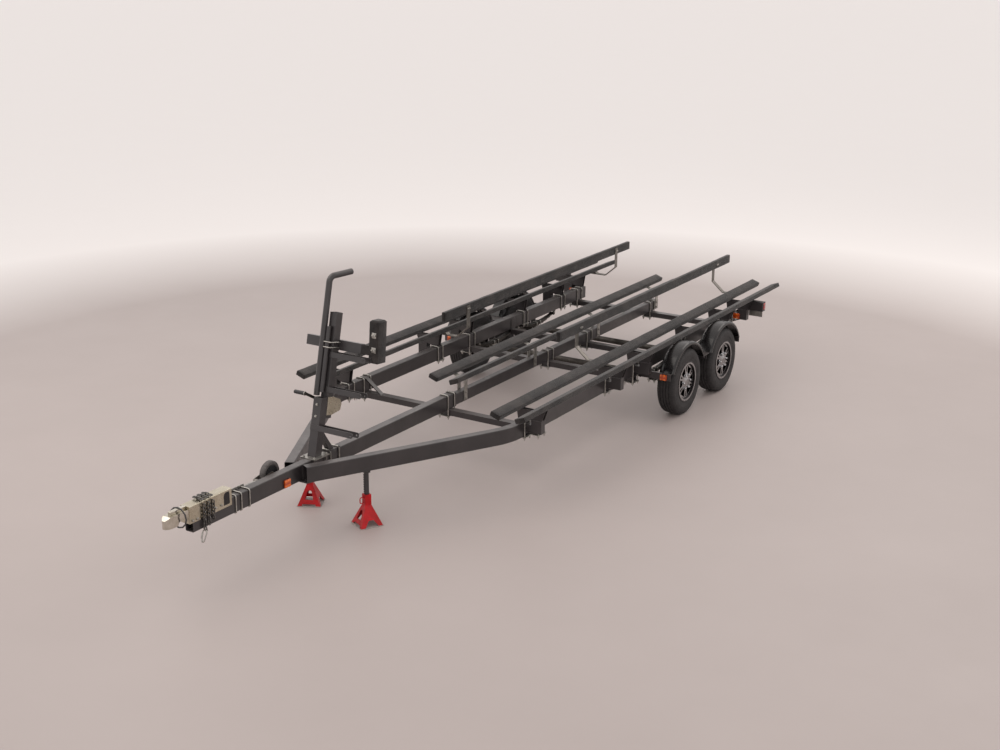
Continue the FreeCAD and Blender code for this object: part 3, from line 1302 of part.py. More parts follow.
# Lamps
def make_lamps():
    housings, lenses, holders, markers = [], [], [], []
    half = s.LampWidth / 2
    low = s.LampLevel - s.LampHeight / 2
    for side in (LEFT, RIGHT):
        low_x = s.LampOffset * side - half
        housings.append(block(s.LampWidth, s.LampDepth, s.LampHeight, (low_x, s.LampAt, low)))
        lenses.append(block(s.LampWidth - 10, s.LensDepth, s.LampHeight - 10,
                            (low_x + 5, s.LampAt + s.LampDepth, low + 5)))
        holder = new_body()
        face = RAIL_FACE
        near, far = s.LampOffset - half, s.LampOffset + half
        pad(holder, "XZ", s.LampAt - s.TiePlate, s.TiePlate,
            [[(face * side, term(480)), (face * side, term(560)), (near * side, low + s.LampHeight - 8),
              (far * side, low + s.LampHeight - 8), (far * side, low), (near * side, low)]])
        holders.append(holder)
        long_half = s.MarkerLength / 2
        depth = s.MarkerDepth
        tongue_x = s.RailWidth / 2 if side == LEFT else -s.RailWidth / 2 - depth
        markers.append(block(depth, s.MarkerLength, s.MarkerHeight,
                             (tongue_x, s.TongueMarkerAt - long_half, s.RailBottom + 9)))
        arm_front = s.FrontAxleAt - EDGE_RUN - 24
        marker_x = WHEEL_CENTRE + 16
        markers.append(block(s.MarkerLength, depth, s.MarkerHeight - 8,
                             (marker_x * side - long_half, arm_front - depth, EDGE_LEVEL - s.ArmHeight + 4)))
        rear_x = term(995) * side - long_half
        rear_face = SIDE_BRACKETS[-1][0] - s.OutriggerDepth / 2
        markers.append(block(s.MarkerLength, depth, s.MarkerHeight, (rear_x, rear_face - depth, s.OutriggerLow + 4)))
    group(housings, "tail_light_housings")
    group(lenses, "tail_light_lenses")
    group(holders, "light_brackets")
    group(markers, "amber_markers")
    plate = new_body("plate_bracket")
    near = s.LampOffset - half - 14
    pad(plate, "YZ", near, term(150),
        [[(s.LampAt, low - 3), (s.LampAt + 50, low - 3), (s.LampAt + 50, low - 74), (s.LampAt + 53, low - 74),
          (s.LampAt + 53, low), (s.LampAt, low)]])


# Jack stands under the side rails, turned with the rails
def make_stand(side, y, label, shift):
    along = (y - rail_line(LEFT, term(0))[0][1]) * tangent(s.RailBendAngle)
    x = (rail_line(LEFT, term(0))[0][0] + along - shift) * side
    base, neck = float(s.StandBase) / 2, float(s.StandNeck) / 2
    shoulder, high, thick = float(s.StandShoulder), float(s.StandHeight), float(s.StandPlate)

    def square(half, level):
        points = [Vector(-half, -half, level), Vector(half, -half, level), Vector(half, half, level),
                  Vector(-half, half, level)]
        return Part.makePolygon(points + [points[0]])

    def window(points, turn):
        corners = [Vector(px, -200, pz) for px, pz in points]
        prism = Part.Face(Part.makePolygon(corners + [corners[0]])).extrude(Vector(0, 400, 0))
        prism.rotate(Vector(0, 0, 0), Vector(0, 0, 1), turn)
        return prism

    outer = Part.makeLoft([square(base, 0), square(neck, shoulder)], True, True)
    inner = Part.makeLoft([square(base - thick, -0.01), square(neck - thick, shoulder + 0.01)], True, True)
    openings = [window([(-33, 52), (33, 52), (20, 108), (12, 122), (-12, 122), (-20, 108)], 0),
                window([(-base + 34, -1), (base - 34, -1), (base - 42, 20), (-base + 42, 20)], 0),
                window([(-base + 34, -1), (base - 34, -1), (20, 54), (-20, 54)], 90)]
    sleeve = Part.makeBox(neck * 2, neck * 2, high - shoulder, Vector(-neck, -neck, shoulder))
    hole = Part.makeCylinder(float(s.StandPost) / 2 + 0.5, high, Vector(0, 0, shoulder - 1))
    shape = outer.cut([inner] + openings).fuse(sleeve.cut(hole)).removeSplitter()
    shape.rotate(Vector(0, 0, 0), Vector(0, 0, 1), -float(s.RailBendAngle) * side)
    shape.translate(Vector(float(x), float(y), 0))
    feature(shape, label)
    saddle, saddle_low = float(s.SaddleWidth), float(s.RailBottom - s.SaddleHeight)
    post = Part.makeCylinder(float(s.StandPost) / 2, saddle_low - shoulder, Vector(0, 0, shoulder))
    cradle = Part.makeBox(saddle, saddle, float(s.SaddleHeight), Vector(-saddle / 2, -saddle / 2, saddle_low))
    pin = Part.makeCylinder(5, neck * 2 + 24, Vector(-neck - 12, 0, high - 30), Vector(1, 0, 0))
    top = post.fuse([cradle]).cut(pin)
    top.rotate(Vector(0, 0, 0), Vector(0, 0, 1), -float(s.RailBendAngle) * side)
    top.translate(Vector(float(x), float(y), 0))
    return top


make_lamps()
feature(Part.makeCompound([make_stand(LEFT, s.LeftStandAt, "stand_left", term(0)),
                           make_stand(RIGHT, s.RightStandAt, "stand_right", s.StandShift)]), "stand_posts")

# Check and write
doc.recompute()
problems = []
for thing in doc.Objects:
    if "Invalid" in thing.State or "Error" in thing.State:
        problems.append("%s %s" % (thing.Name, thing.State))
for node in nodes:
    if node.Shape.isNull() or not node.Shape.isValid():
        problems.append("%s has no sound shape" % node.Label)
if problems:
    raise RuntimeError("; ".join(problems))
os.makedirs("parts", exist_ok=True)
for node in nodes:
    node.Shape.exportStep("parts/%s.step" % node.Label)
    print(node.Label, len(node.Shape.Solids), "solids", round(node.Shape.Volume / 1000), "cm3")
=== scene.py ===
import json
import math
import bmesh
import bpy
from mathutils import Matrix, Vector, noise


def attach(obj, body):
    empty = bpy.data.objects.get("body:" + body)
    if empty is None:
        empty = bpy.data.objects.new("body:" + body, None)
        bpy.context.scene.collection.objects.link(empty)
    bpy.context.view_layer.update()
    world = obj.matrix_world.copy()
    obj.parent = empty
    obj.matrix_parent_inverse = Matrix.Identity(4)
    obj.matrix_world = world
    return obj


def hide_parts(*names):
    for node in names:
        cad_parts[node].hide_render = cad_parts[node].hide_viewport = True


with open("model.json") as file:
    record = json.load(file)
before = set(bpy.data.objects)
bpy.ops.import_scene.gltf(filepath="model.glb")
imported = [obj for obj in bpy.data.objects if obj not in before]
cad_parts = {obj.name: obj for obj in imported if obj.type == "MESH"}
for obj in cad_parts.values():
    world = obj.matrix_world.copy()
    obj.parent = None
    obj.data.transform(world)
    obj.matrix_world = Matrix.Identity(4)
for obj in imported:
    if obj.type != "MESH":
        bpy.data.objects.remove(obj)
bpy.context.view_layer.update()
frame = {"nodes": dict(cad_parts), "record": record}  # frame["nodes"], ["record"]
mm = 0.001


# Materials

def linear(code):
    # sRGB hex to linear colour
    parts = [int(code[i:i + 2], 16) / 255 for i in (1, 3, 5)]
    return [c / 12.92 if c <= 0.04045 else ((c + 0.055) / 1.055) ** 2.4 for c in parts] + [1.0]


def add(tree, kind, inputs=None, **settings):
    made = tree.nodes.new("ShaderNode" + kind)
    for name, value in settings.items():
        setattr(made, name, value)
    for name, value in (inputs or {}).items():
        socket = made.inputs[name]
        if isinstance(value, bpy.types.NodeSocket):
            tree.links.new(value, socket)
        else:
            socket.default_value = value
    return made


def perMetre(size):
    # texture scale from the size of its features in mm
    return 1000.0 / size


def blend(tree, factor, first, second, mode="MIX"):
    made = add(tree, "Mix", {0: factor, 6: first, 7: second}, data_type="RGBA", blend_type=mode)
    return made.outputs[2]


def spread(tree, value, low, high, start=0.0, end=1.0):
    made = add(tree, "MapRange", {"Value": value, "From Min": low, "From Max": high,
                                  "To Min": start, "To Max": end})
    return made.outputs[0]


def cloud(tree, place, size, detail=4.0, rough=0.55):
    return add(tree, "TexNoise", {"Vector": place, "Scale": perMetre(size), "Detail": detail,
                                  "Roughness": rough}).outputs[0]


def surface(name, look):
    made = bpy.data.materials.new(name)
    made.use_nodes = True
    tree = made.node_tree
    shader = tree.nodes["Principled BSDF"]
    place = add(tree, "TexCoord").outputs["Object"]
    stain = cloud(tree, place, look["stain"], 6.0, 0.6)
    grain = cloud(tree, place, look["grain"], 2.0)
    fine = cloud(tree, place, look["grain"] / 4, 2.0)
    colour = blend(tree, spread(tree, stain, 0.35, 0.68), linear(look["dark"]), linear(look["light"]))
    colour = blend(tree, spread(tree, fine, 0.35, 0.7, 0.0, look.get("speckle", 0.15)), colour,
                   linear(look.get("fleck", look["light"])))
    rough = spread(tree, cloud(tree, place, look["stain"] / 3, 5.0, 0.7), 0.3, 0.7,
                   look["rough"][0], look["rough"][1])
    normal = None
    if look.get("edge"):
        # rounded corners, and the bare rim that wear leaves on them
        rounded = add(tree, "Bevel", {"Radius": look["edge"] * mm}, samples=4).outputs[0]
        flat = add(tree, "NewGeometry").outputs["Normal"]
        same = add(tree, "VectorMath", {0: rounded, 1: flat}, operation="DOT_PRODUCT").outputs["Value"]
        corner = spread(tree, same, 0.995, 0.80)
        patchy = add(tree, "Math", {0: corner, 1: spread(tree, grain, 0.4, 0.62)},
                     operation="MULTIPLY").outputs[0]
        colour = blend(tree, spread(tree, patchy, 0.0, 1.0, 0.0, look.get("wear", 0.4)), colour,
                       linear(look.get("bare", "#8f8b88")))
        normal = rounded
    if look.get("dust"):
        upward = add(tree, "SeparateXYZ", {0: add(tree, "NewGeometry").outputs["Normal"]}).outputs[2]
        lying = add(tree, "Math", {0: spread(tree, upward, 0.5, 1.0),
                                   1: spread(tree, stain, 0.3, 0.75, 0.25, 1.0)},
                    operation="MULTIPLY").outputs[0]
        amount = spread(tree, lying, 0.0, 1.0, 0.0, look["dust"])
        colour = blend(tree, amount, colour, linear("#b4a9a3"))
    if look.get("pocket"):
        # paint in the pockets, the outward faces machined bright
        across = add(tree, "SeparateXYZ", {0: add(tree, "TexCoord").outputs["Normal"]}).outputs[0]
        outwards = spread(tree, add(tree, "Math", {0: across}, operation="ABSOLUTE").outputs[0], 0.80, 0.93)
        colour = blend(tree, outwards, linear(look["pocket"]), colour)
        rough = add(tree, "Math", {0: rough, 1: spread(tree, outwards, 0.0, 1.0, 0.12, 0.0)},
                    operation="ADD").outputs[0]
    if look.get("brushed"):
        drawn = add(tree, "Mapping", {"Vector": place, "Scale": look["brushed"]}).outputs[0]
        lines = add(tree, "TexNoise", {"Vector": drawn, "Scale": perMetre(1.5), "Detail": 3.0}).outputs[0]
        rough = add(tree, "Math", {0: rough, 1: spread(tree, lines, 0.3, 0.7, -0.08, 0.08)},
                    operation="ADD").outputs[0]
    bumped = {"Strength": look.get("bump", 0.3), "Distance": look.get("depth", 0.3) * mm, "Height": grain}
    if normal:
        bumped["Normal"] = normal
    first = add(tree, "Bump", bumped).outputs[0]
    second = add(tree, "Bump", {"Strength": look.get("bump", 0.3) * 0.6, "Height": fine, "Normal": first,
                                "Distance": look.get("depth", 0.3) * 0.4 * mm}).outputs[0]
    for socket, value in (("Base Color", colour), ("Roughness", rough), ("Normal", second)):
        tree.links.new(value, shader.inputs[socket])
    shader.inputs["Metallic"].default_value = look.get("metal", 0.0)
    for socket, value in look.get("sockets", {}).items():
        shader.inputs[socket].default_value = value
    return made


looks = {
    "frame_black": {"dark": "#282526", "light": "#353132", "stain": 260, "grain": 1.6, "rough": (0.30, 0.46),
                    "edge": 2.5, "wear": 0.22, "dust": 0.14, "bump": 0.18, "depth": 0.15,
                    "sockets": {"Coat Weight": 0.25, "Coat Roughness": 0.25}},
    "zinc": {"dark": "#9c9a96", "light": "#c4c1bb", "stain": 22, "grain": 3.0, "rough": (0.32, 0.50),
             "metal": 1.0, "bump": 0.15, "depth": 0.1, "speckle": 0.3, "fleck": "#8f8c86"},
    "housing_zinc": {"dark": "#bab29e", "light": "#cfc8b6", "stain": 90, "grain": 2.2, "rough": (0.24, 0.34),
                     "metal": 1.0, "edge": 1.5, "wear": 0.1, "bare": "#e6dfd0", "bump": 0.08, "depth": 0.08,
                     "speckle": 0.08, "fleck": "#b6ae9c"},
    "chrome": {"dark": "#bcb6a8", "light": "#d9d4c9", "stain": 50, "grain": 2.0, "rough": (0.13, 0.24),
               "metal": 1.0, "edge": 1.5, "wear": 0.1, "bare": "#efe9dc", "bump": 0.05, "depth": 0.05,
               "speckle": 0.1},
    "lug_chrome": {"dark": "#a9aaad", "light": "#cfd0d3", "stain": 30, "grain": 1.6, "rough": (0.10, 0.20),
                   "metal": 1.0, "edge": 0.8, "wear": 0.1, "bare": "#f2f2f2", "bump": 0.04, "depth": 0.04,
                   "speckle": 0.1},
    "dull_zinc": {"dark": "#77736e", "light": "#98938d", "stain": 26, "grain": 2.6, "rough": (0.42, 0.60),
                  "metal": 0.85, "edge": 1.0, "wear": 0.15, "bump": 0.2, "depth": 0.12, "speckle": 0.3,
                  "fleck": "#6b6762"},
    "fender_black": {"dark": "#0b0a0b", "light": "#131113", "stain": 190, "grain": 1.2, "rough": (0.20, 0.32),
                     "edge": 2.0, "wear": 0.08, "dust": 0.05, "bump": 0.12, "depth": 0.12,
                     "sockets": {"Coat Weight": 0.3, "Coat Roughness": 0.08, "Specular IOR Level": 0.32}},
    "tyre_rubber": {"dark": "#19181a", "light": "#2b292a", "stain": 70, "grain": 1.4, "rough": (0.58, 0.78),
                    "dust": 0.05, "bump": 0.35, "depth": 0.3, "speckle": 0.2, "fleck": "#47423f"},
    "rim_alloy": {"dark": "#8b898a", "light": "#b9b8b9", "stain": 60, "grain": 1.0, "rough": (0.20, 0.32),
                  "metal": 1.0, "edge": 1.2, "wear": 0.15, "bare": "#f0f0f0", "bump": 0.08, "depth": 0.06,
                  "brushed": (0.15, 1.0, 1.0), "pocket": "#1c1a1b"},
    "caster_rubber": {"dark": "#4b4746", "light": "#66615f", "stain": 30, "grain": 0.9, "rough": (0.5, 0.7),
                      "bump": 0.35, "depth": 0.2, "speckle": 0.2, "fleck": "#3a3736"},
    "black_plastic": {"dark": "#18181a", "light": "#262527", "stain": 60, "grain": 0.8, "rough": (0.40, 0.55),
                      "edge": 1.2, "wear": 0.05, "dust": 0.08, "bump": 0.45, "depth": 0.15},
    "stand_red": {"dark": "#9e050c", "light": "#c40a14", "stain": 70, "grain": 1.8, "rough": (0.34, 0.50),
                  "edge": 2.0, "wear": 0.3, "bare": "#5e4a44", "bump": 0.2, "depth": 0.2, "fleck": "#7c0a10",
                  "sockets": {"Coat Weight": 0.1, "Coat Roughness": 0.2, "Specular IOR Level": 0.3}},
    "chain_steel": {"dark": "#4c4a49", "light": "#8a8886", "stain": 9, "grain": 1.2, "rough": (0.22, 0.42),
                    "metal": 1.0, "bump": 0.15, "depth": 0.1, "speckle": 0.3, "fleck": "#2f2d2c"},
    "dark_steel": {"dark": "#3b3937", "light": "#55524f", "stain": 50, "grain": 1.6, "rough": (0.38, 0.6),
                   "metal": 0.9, "edge": 1.0, "wear": 0.3, "bump": 0.3, "depth": 0.2, "fleck": "#6d5f52"},
}


prismSize = {"pitch": 6.5, "deep": 0.8}


def lens(name, look):
    made = surface(name, look)
    tree = made.node_tree
    shader = tree.nodes["Principled BSDF"]
    place = add(tree, "TexCoord").outputs["Object"]
    # prisms moulded into the inner face; the wave node multiplies its place by 20
    waves = {"Vector": place, "Scale": perMetre(prismSize["pitch"]) / 20}
    rows = add(tree, "TexWave", waves, bands_direction="Z").outputs[1]
    columns = add(tree, "TexWave", waves, bands_direction="X").outputs[1]
    both = add(tree, "Math", {0: rows, 1: columns}, operation="MULTIPLY").outputs[0]
    before = shader.inputs["Normal"].links[0].from_socket
    ribbed = add(tree, "Bump", {"Strength": 0.5, "Distance": prismSize["deep"] * mm, "Height": both,
                                "Normal": before}).outputs[0]
    tree.links.new(ribbed, shader.inputs["Normal"])
    # painted highlight: the lens colour runs from dark to light over each moulded prism, as glints on the
    # prisms
    prismGlint = blend(tree, both, linear(look["dark"]), linear(look["light"]))
    tree.links.new(prismGlint, shader.inputs["Base Color"])
    return made


lensLooks = {
    "red_lens": {"dark": "#7c0a0c", "light": "#c31a18", "stain": 40, "grain": 3.0, "rough": (0.08, 0.16),
                 "bump": 0.05, "depth": 0.1, "sockets": {"Coat Weight": 0.8, "Coat Roughness": 0.06}},
    "amber_lens": {"dark": "#a93a06", "light": "#f0761a", "stain": 40, "grain": 3.0, "rough": (0.08, 0.16),
                   "bump": 0.05, "depth": 0.1, "sockets": {"Coat Weight": 0.8, "Coat Roughness": 0.06}},
}


def carpetMaterial(name, look):
    made = bpy.data.materials.new(name)
    made.use_nodes = True
    tree = made.node_tree
    shader = tree.nodes["Principled BSDF"]
    place = add(tree, "TexCoord").outputs["Object"]
    tufts = add(tree, "TexVoronoi", {"Vector": place, "Scale": perMetre(look["tuft"]), "Randomness": 1.0})
    fibre = cloud(tree, place, look["fibre"], 3.0, 0.7)
    worn = cloud(tree, place, look["worn"], 5.0, 0.6)
    pile = add(tree, "Math", {0: spread(tree, tufts.outputs["Distance"], 0.0, 0.7, 1.0, 0.0), 1: fibre},
               operation="MULTIPLY").outputs[0]
    colour = blend(tree, spread(tree, pile, 0.1, 0.7), linear(look["deep"]), linear(look["tip"]))
    colour = blend(tree, spread(tree, worn, 0.42, 0.72, 0.0, 0.5), colour, linear(look["faded"]))
    lint = spread(tree, cloud(tree, place, look["fibre"] * 3, 2.0), 0.70, 0.78, 0.0, 0.35)
    colour = blend(tree, lint, colour, linear("#8c837d"))
    rough = spread(tree, fibre, 0.2, 0.8, 0.86, 1.0)
    first = add(tree, "Bump", {"Strength": 0.9, "Distance": look["pile"] * mm, "Height": pile}).outputs[0]
    second = add(tree, "Bump", {"Strength": 0.35, "Distance": 2.0 * mm, "Height": worn,
                                "Normal": first}).outputs[0]
    for socket, value in (("Base Color", colour), ("Roughness", rough), ("Normal", second)):
        tree.links.new(value, shader.inputs[socket])
    shader.inputs["Sheen Weight"].default_value = look["sheen"]
    shader.inputs["Sheen Roughness"].default_value = 0.5
    shader.inputs["Specular IOR Level"].default_value = 0.2
    return made


carpetLook = {"deep": "#141213", "tip": "#37322f", "faded": "#4a4340", "tuft": 3.2, "fibre": 1.3,
              "worn": 160, "pile": 1.8, "sheen": 0.25}

webLook = {"dark": "#28292c", "light": "#3c3e42", "stain": 40, "grain": 1.5, "rough": (0.75, 0.9),
           "bump": 0.6, "depth": 0.5, "speckle": 0.3, "fleck": "#5a5c60", "sockets": {"Sheen Weight": 0.2}}

materials = {name: surface(name, look) for name, look in looks.items()}
materials.update({name: lens(name, look) for name, look in lensLooks.items()})
materials["carpet"] = carpetMaterial("carpet", carpetLook)
materials["webbing"] = surface("webbing", webLook)
print("materials", len(materials))


# Mesh helpers

def metres(*place):
    # a place given in mm
    return tuple(value * mm for value in place)


def deselect():
    if bpy.context.object and bpy.context.object.mode != "OBJECT":
        bpy.ops.object.mode_set(mode="OBJECT")
    bpy.ops.object.select_all(action="DESELECT")


def choose(piece):
    deselect()
    piece.select_set(True)
    bpy.context.view_layer.objects.active = piece
    return piece


def applied(piece):
    choose(piece)
    for modifier in list(piece.modifiers):
        bpy.ops.object.modifier_apply(modifier=modifier.name)
    bpy.ops.object.transform_apply(location=True, rotation=True, scale=True)
    return piece


def turnTo(direction):
    return Vector(direction).to_track_quat("Z", "Y").to_euler()


def block(low, high, round=0.0, steps=2):
    low, high = Vector(low), Vector(high)
    deselect()
    bpy.ops.mesh.primitive_cube_add(size=1, location=(low + high) / 2, scale=high - low)
    piece = bpy.context.object
    bpy.ops.object.transform_apply(location=True, rotation=True, scale=True)
    if round:
        bevel = piece.modifiers.new("round", "BEVEL")
        bevel.width, bevel.segments = round, steps
        applied(piece)
    return piece


def barrel(start, end, radius, sides=32, round=0.0, steps=2):
    start, end = Vector(start), Vector(end)
    deselect()
    bpy.ops.mesh.primitive_cylinder_add(vertices=sides, radius=radius, depth=(end - start).length,
                                        location=(start + end) / 2, rotation=turnTo(end - start))
    piece = bpy.context.object
    bpy.ops.object.transform_apply(location=True, rotation=True, scale=True)
    if round:
        bevel = piece.modifiers.new("round", "BEVEL")
        bevel.width, bevel.segments, bevel.limit_method = round, steps, "ANGLE"
        bevel.angle_limit = math.radians(40)
        applied(piece)
    return piece


def roundedPath(corners, bend, steps=6):
    corners = [Vector(c) for c in corners]
    path = [corners[0]]
    for before, corner, after in zip(corners, corners[1:], corners[2:]):
        back, ahead = (before - corner).normalized(), (after - corner).normalized()
        half = back.angle(ahead) / 2
        if bend <= 0 or half > math.radians(89):
            path.append(corner)
            continue
        reach = min(bend / math.tan(half), (before - corner).length * 0.49, (after - corner).length * 0.49)
        radius = reach * math.tan(half)
        centre = corner + (back + ahead).normalized() * (radius / math.sin(half))
        first, last = corner + back * reach - centre, corner + ahead * reach - centre
        for step in range(steps + 1):
            path.append(centre + first.normalized().slerp(last.normalized(), step / steps) * radius)
    path.append(corners[-1])
    return path


def bentRod(corners, radius, bend, sides=3, closed=False, steps=6):
    # sides is the curve's bevel resolution
    path = roundedPath(corners, bend, steps) if not closed else [Vector(c) for c in corners]
    curve = bpy.data.curves.new("rod", "CURVE")
    curve.dimensions = "3D"
    curve.bevel_depth, curve.bevel_resolution, curve.use_fill_caps = radius, sides, True
    run = curve.splines.new("POLY")
    run.points.add(len(path) - 1)
    for point, at in zip(run.points, path):
        point.co = (at.x, at.y, at.z, 1)
    run.use_cyclic_u = closed
    piece = bpy.data.objects.new("rod", curve)
    bpy.context.scene.collection.objects.link(piece)
    choose(piece)
    bpy.ops.object.convert(target="MESH")
    return bpy.context.object


def joined(name, pieces):
    deselect()
    for piece in pieces:
        piece.select_set(True)
    bpy.context.view_layer.objects.active = pieces[0]
    if len(pieces) > 1:
        bpy.ops.object.join()
    made = bpy.context.object
    made.name = name
    made.data.name = name
    return made


def stamped(name, model, places):
    # one mesh of copies of a model, one for each matrix
    gathered = bmesh.new()
    for place in places:
        copy = model.data.copy()
        copy.transform(place)
        gathered.from_mesh(copy)
        bpy.data.meshes.remove(copy)
    mesh = bpy.data.meshes.new(name)
    gathered.to_mesh(mesh)
    gathered.free()
    made = bpy.data.objects.new(name, mesh)
    bpy.context.scene.collection.objects.link(made)
    return made


def discard(*pieces):
    for piece in pieces:
        bpy.data.objects.remove(piece)


def settle(piece, name, body, slotName, replaces=(), smooth=35, look=None):
    applied(piece)
    piece.name = name
    bpy.ops.object.shade_smooth_by_angle(angle=math.radians(smooth))
    piece.data.materials.clear()
    piece.data.materials.append(materials[look or slotName])
    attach(piece, body)
    if replaces:
        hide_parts(*replaces)
    return piece


def cadCopy(name, *nodes):
    # clean copy of CAD nodes, coplanar triangles dissolved
    made = []
    for node in nodes:
        mesh = frame["nodes"][node].data.copy()
        piece = bpy.data.objects.new(name, mesh)
        bpy.context.scene.collection.objects.link(piece)
        made.append(piece)
    piece = joined(name, made)
    choose(piece)
    bpy.ops.object.mode_set(mode="EDIT")
    bpy.ops.mesh.select_all(action="SELECT")
    bpy.ops.mesh.remove_doubles(threshold=1e-5)
    bpy.ops.mesh.dissolve_limited(angle_limit=math.radians(1))
    bpy.ops.mesh.normals_make_consistent(inside=False)
    bpy.ops.object.mode_set(mode="OBJECT")
    return piece


def islands(node):
    # corner clouds of the separate solids of a CAD node, from the right to the left, the same in each run
    source = bmesh.new()
    source.from_mesh(frame["nodes"][node].data)
    bmesh.ops.remove_doubles(source, verts=source.verts, dist=1e-6)
    left, found = set(source.verts), []
    for start in source.verts:
        if start not in left:
            continue
        left.remove(start)
        queue, group = [start], []
        while queue:
            corner = queue.pop()
            group.append(corner.co.copy())
            for edge in corner.link_edges:
                other = edge.other_vert(corner)
                if other in left:
                    left.remove(other)
                    queue.append(other)
        found.append(group)
    source.free()
    return sorted(found, key=lambda group: min(p.x for p in group))


def span(points):
    low = Vector([min(p[i] for p in points) for i in range(3)])
    high = Vector([max(p[i] for p in points) for i in range(3)])
    return low, high


# CAD nodes that stay get better finishes

slotOf = {entry["node"]: entry["material_slot"] for entry in frame["record"]["subparts"]}
ownFinish = {"leaf_springs": "dark_steel", "spring_hangers": "dark_steel", "axles": "dark_steel",
             "winch_crank": "dark_steel", "guide_brackets": "dull_zinc"}
for name, obj in frame["nodes"].items():
    finish = materials.get(ownFinish.get(name, slotOf.get(name)))
    if finish is None:
        continue
    if not obj.data.materials:
        obj.data.materials.append(finish)
    for index in range(len(obj.data.materials)):
        obj.data.materials[index] = finish
print("carried nodes", len(frame["nodes"]))


# Carpeted boards

carpetBoards = {"round": 7 * mm, "segments": 3, "slice": 45 * mm, "lift": 1.3 * mm, "coarse": 9.0}


def carpeted(name, nodes, along, settings):
    piece = cadCopy(name, *nodes)
    low, high = span([v.co for v in piece.data.vertices])
    axis = Vector([1 if i == along else 0 for i in range(3)])
    choose(piece)
    bpy.ops.object.mode_set(mode="EDIT")
    mesh = bmesh.from_edit_mesh(piece.data)
    count = int((high[along] - low[along]) / settings["slice"])
    for step in range(1, count):
        at = low + axis * (high[along] - low[along]) * step / count
        bmesh.ops.bisect_plane(mesh, geom=mesh.verts[:] + mesh.edges[:] + mesh.faces[:], plane_co=at,
                               plane_no=axis, dist=1e-5)
    bmesh.update_edit_mesh(piece.data)
    bpy.ops.object.mode_set(mode="OBJECT")
    bevel = piece.modifiers.new("round", "BEVEL")
    bevel.width, bevel.segments, bevel.limit_method = settings["round"], settings["segments"], "ANGLE"
    bevel.angle_limit = math.radians(40)
    applied(piece)
    # the carpet never lies quite flat on its board
    for corner in piece.data.vertices:
        place = corner.co * settings["coarse"]
        lift = noise.noise(place) + 0.5 * noise.noise(place * 4)
        corner.co += corner.normal * lift * settings["lift"]
    return piece


bunkPieces = [("bunk_carpet_left", "bunks_left"), ("bunk_carpet_centre", "bunks_centre"),
              ("bunk_carpet_right", "bunks_right")]
for pieceName, node in bunkPieces:
    settle(carpeted(pieceName, [node], 1, carpetBoards), pieceName, "frame", "carpet", [node], 50)
settle(carpeted("guide_carpet", ["guide_boards"], 1, carpetBoards), "guide_carpet", "frame", "carpet",
       ["guide_boards"], 50)
settle(carpeted("bow_pad_carpet", ["bow_pad"], 2, carpetBoards | {"slice": 25 * mm, "round": 6 * mm}),
       "bow_pad_carpet", "frame", "carpet", ["bow_pad"], 50)
print("carpet")


# U-bolts, nuts and clamp plates

nutSize = {"across": 19 * mm, "deep": 10 * mm, "washer": 12 * mm, "washerDeep": 2.5 * mm}
# a solid shorter than plate along its opening is a clamp plate, one thinner than rod is a U-bolt
clampSize = {"plate": 12 * mm, "rod": 16 * mm, "bend": 16 * mm, "round": 2 * mm}


def nutModel(settings):
    nut = barrel((0, 0, 0), (0, 0, settings["deep"]), settings["across"] / math.sqrt(3), 6, 1 * mm, 2)
    washer = barrel((0, 0, -settings["washerDeep"]), (0, 0, 0), settings["washer"], 20, 0.5 * mm, 1)
    return joined("nut", [nut, washer])


nut = nutModel(nutSize)


def uBolt(low, high, opening, radius):
    # a bolt that fills a box, its two legs ending on the opening side
    low, high = Vector(low), Vector(high)
    axis = "xyz".index(opening[1])
    sizes = high - low
    others = [i for i in range(3) if i != axis]
    thin = min(others, key=lambda i: sizes[i])
    across = [i for i in others if i != thin][0]
    middle = (low[thin] + high[thin]) / 2
    leg = low[axis] if opening[0] == "-" else high[axis]
    crown = high[axis] - radius if opening[0] == "-" else low[axis] + radius

    def at(side, along):
        place = Vector((0, 0, 0))
        place[thin], place[across], place[axis] = middle, side, along
        return place

    first, second = low[across] + radius, high[across] - radius
    rod = bentRod([at(first, leg), at(first, crown), at(second, crown), at(second, leg)], radius,
                  clampSize["bend"], 3)
    return rod, [at(first, leg), at(second, leg)]


def threaded(place, direction, seat):
    # nut with its washer pressed on a plate, seat above the leg's end
    direction = Vector(direction)
    turn = direction.to_track_quat("Z", "Y").to_matrix().to_4x4()
    return Matrix.Translation(place + direction * -seat) @ turn


def clamped(name, node, opening, seat, radius):
    pieces, nuts, plates = [], [], []
    axis = "xyz".index(opening[1])
    direction = Vector((0, 0, 0))
    direction[axis] = -1 if opening[0] == "-" else 1
    for points in islands(node):
        low, high = span(points)
        size = high - low
        if size[axis] < clampSize["plate"] or min(size) >= clampSize["rod"]:
            plates.append(block(low, high, clampSize["round"], 2))
            continue
        rod, legs = uBolt(low, high, opening, radius)
        pieces.append(rod)
        nuts += [threaded(leg, direction, seat) for leg in legs]
    pieces.append(stamped(name, nut, nuts))
    return joined(name, pieces + plates)


# piece, CAD node, opening side, nut's seat above the leg's end, rod's radius
hardware = [("frame_hardware", "frame_ubolts", "-z", 23.5 * mm, 5.5 * mm),
            ("tongue_hardware", "tongue_ubolts", "-x", 17.5 * mm, 5.2 * mm),
            ("spring_hardware", "spring_clamps", "-z", 23.5 * mm, 4.6 * mm)]
for pieceName, node, opening, seat, radius in hardware:
    settle(clamped(pieceName, node, opening, seat, radius), pieceName, "frame", "zinc", [node], 40)
discard(nut)
print("clamps")


# Wheels

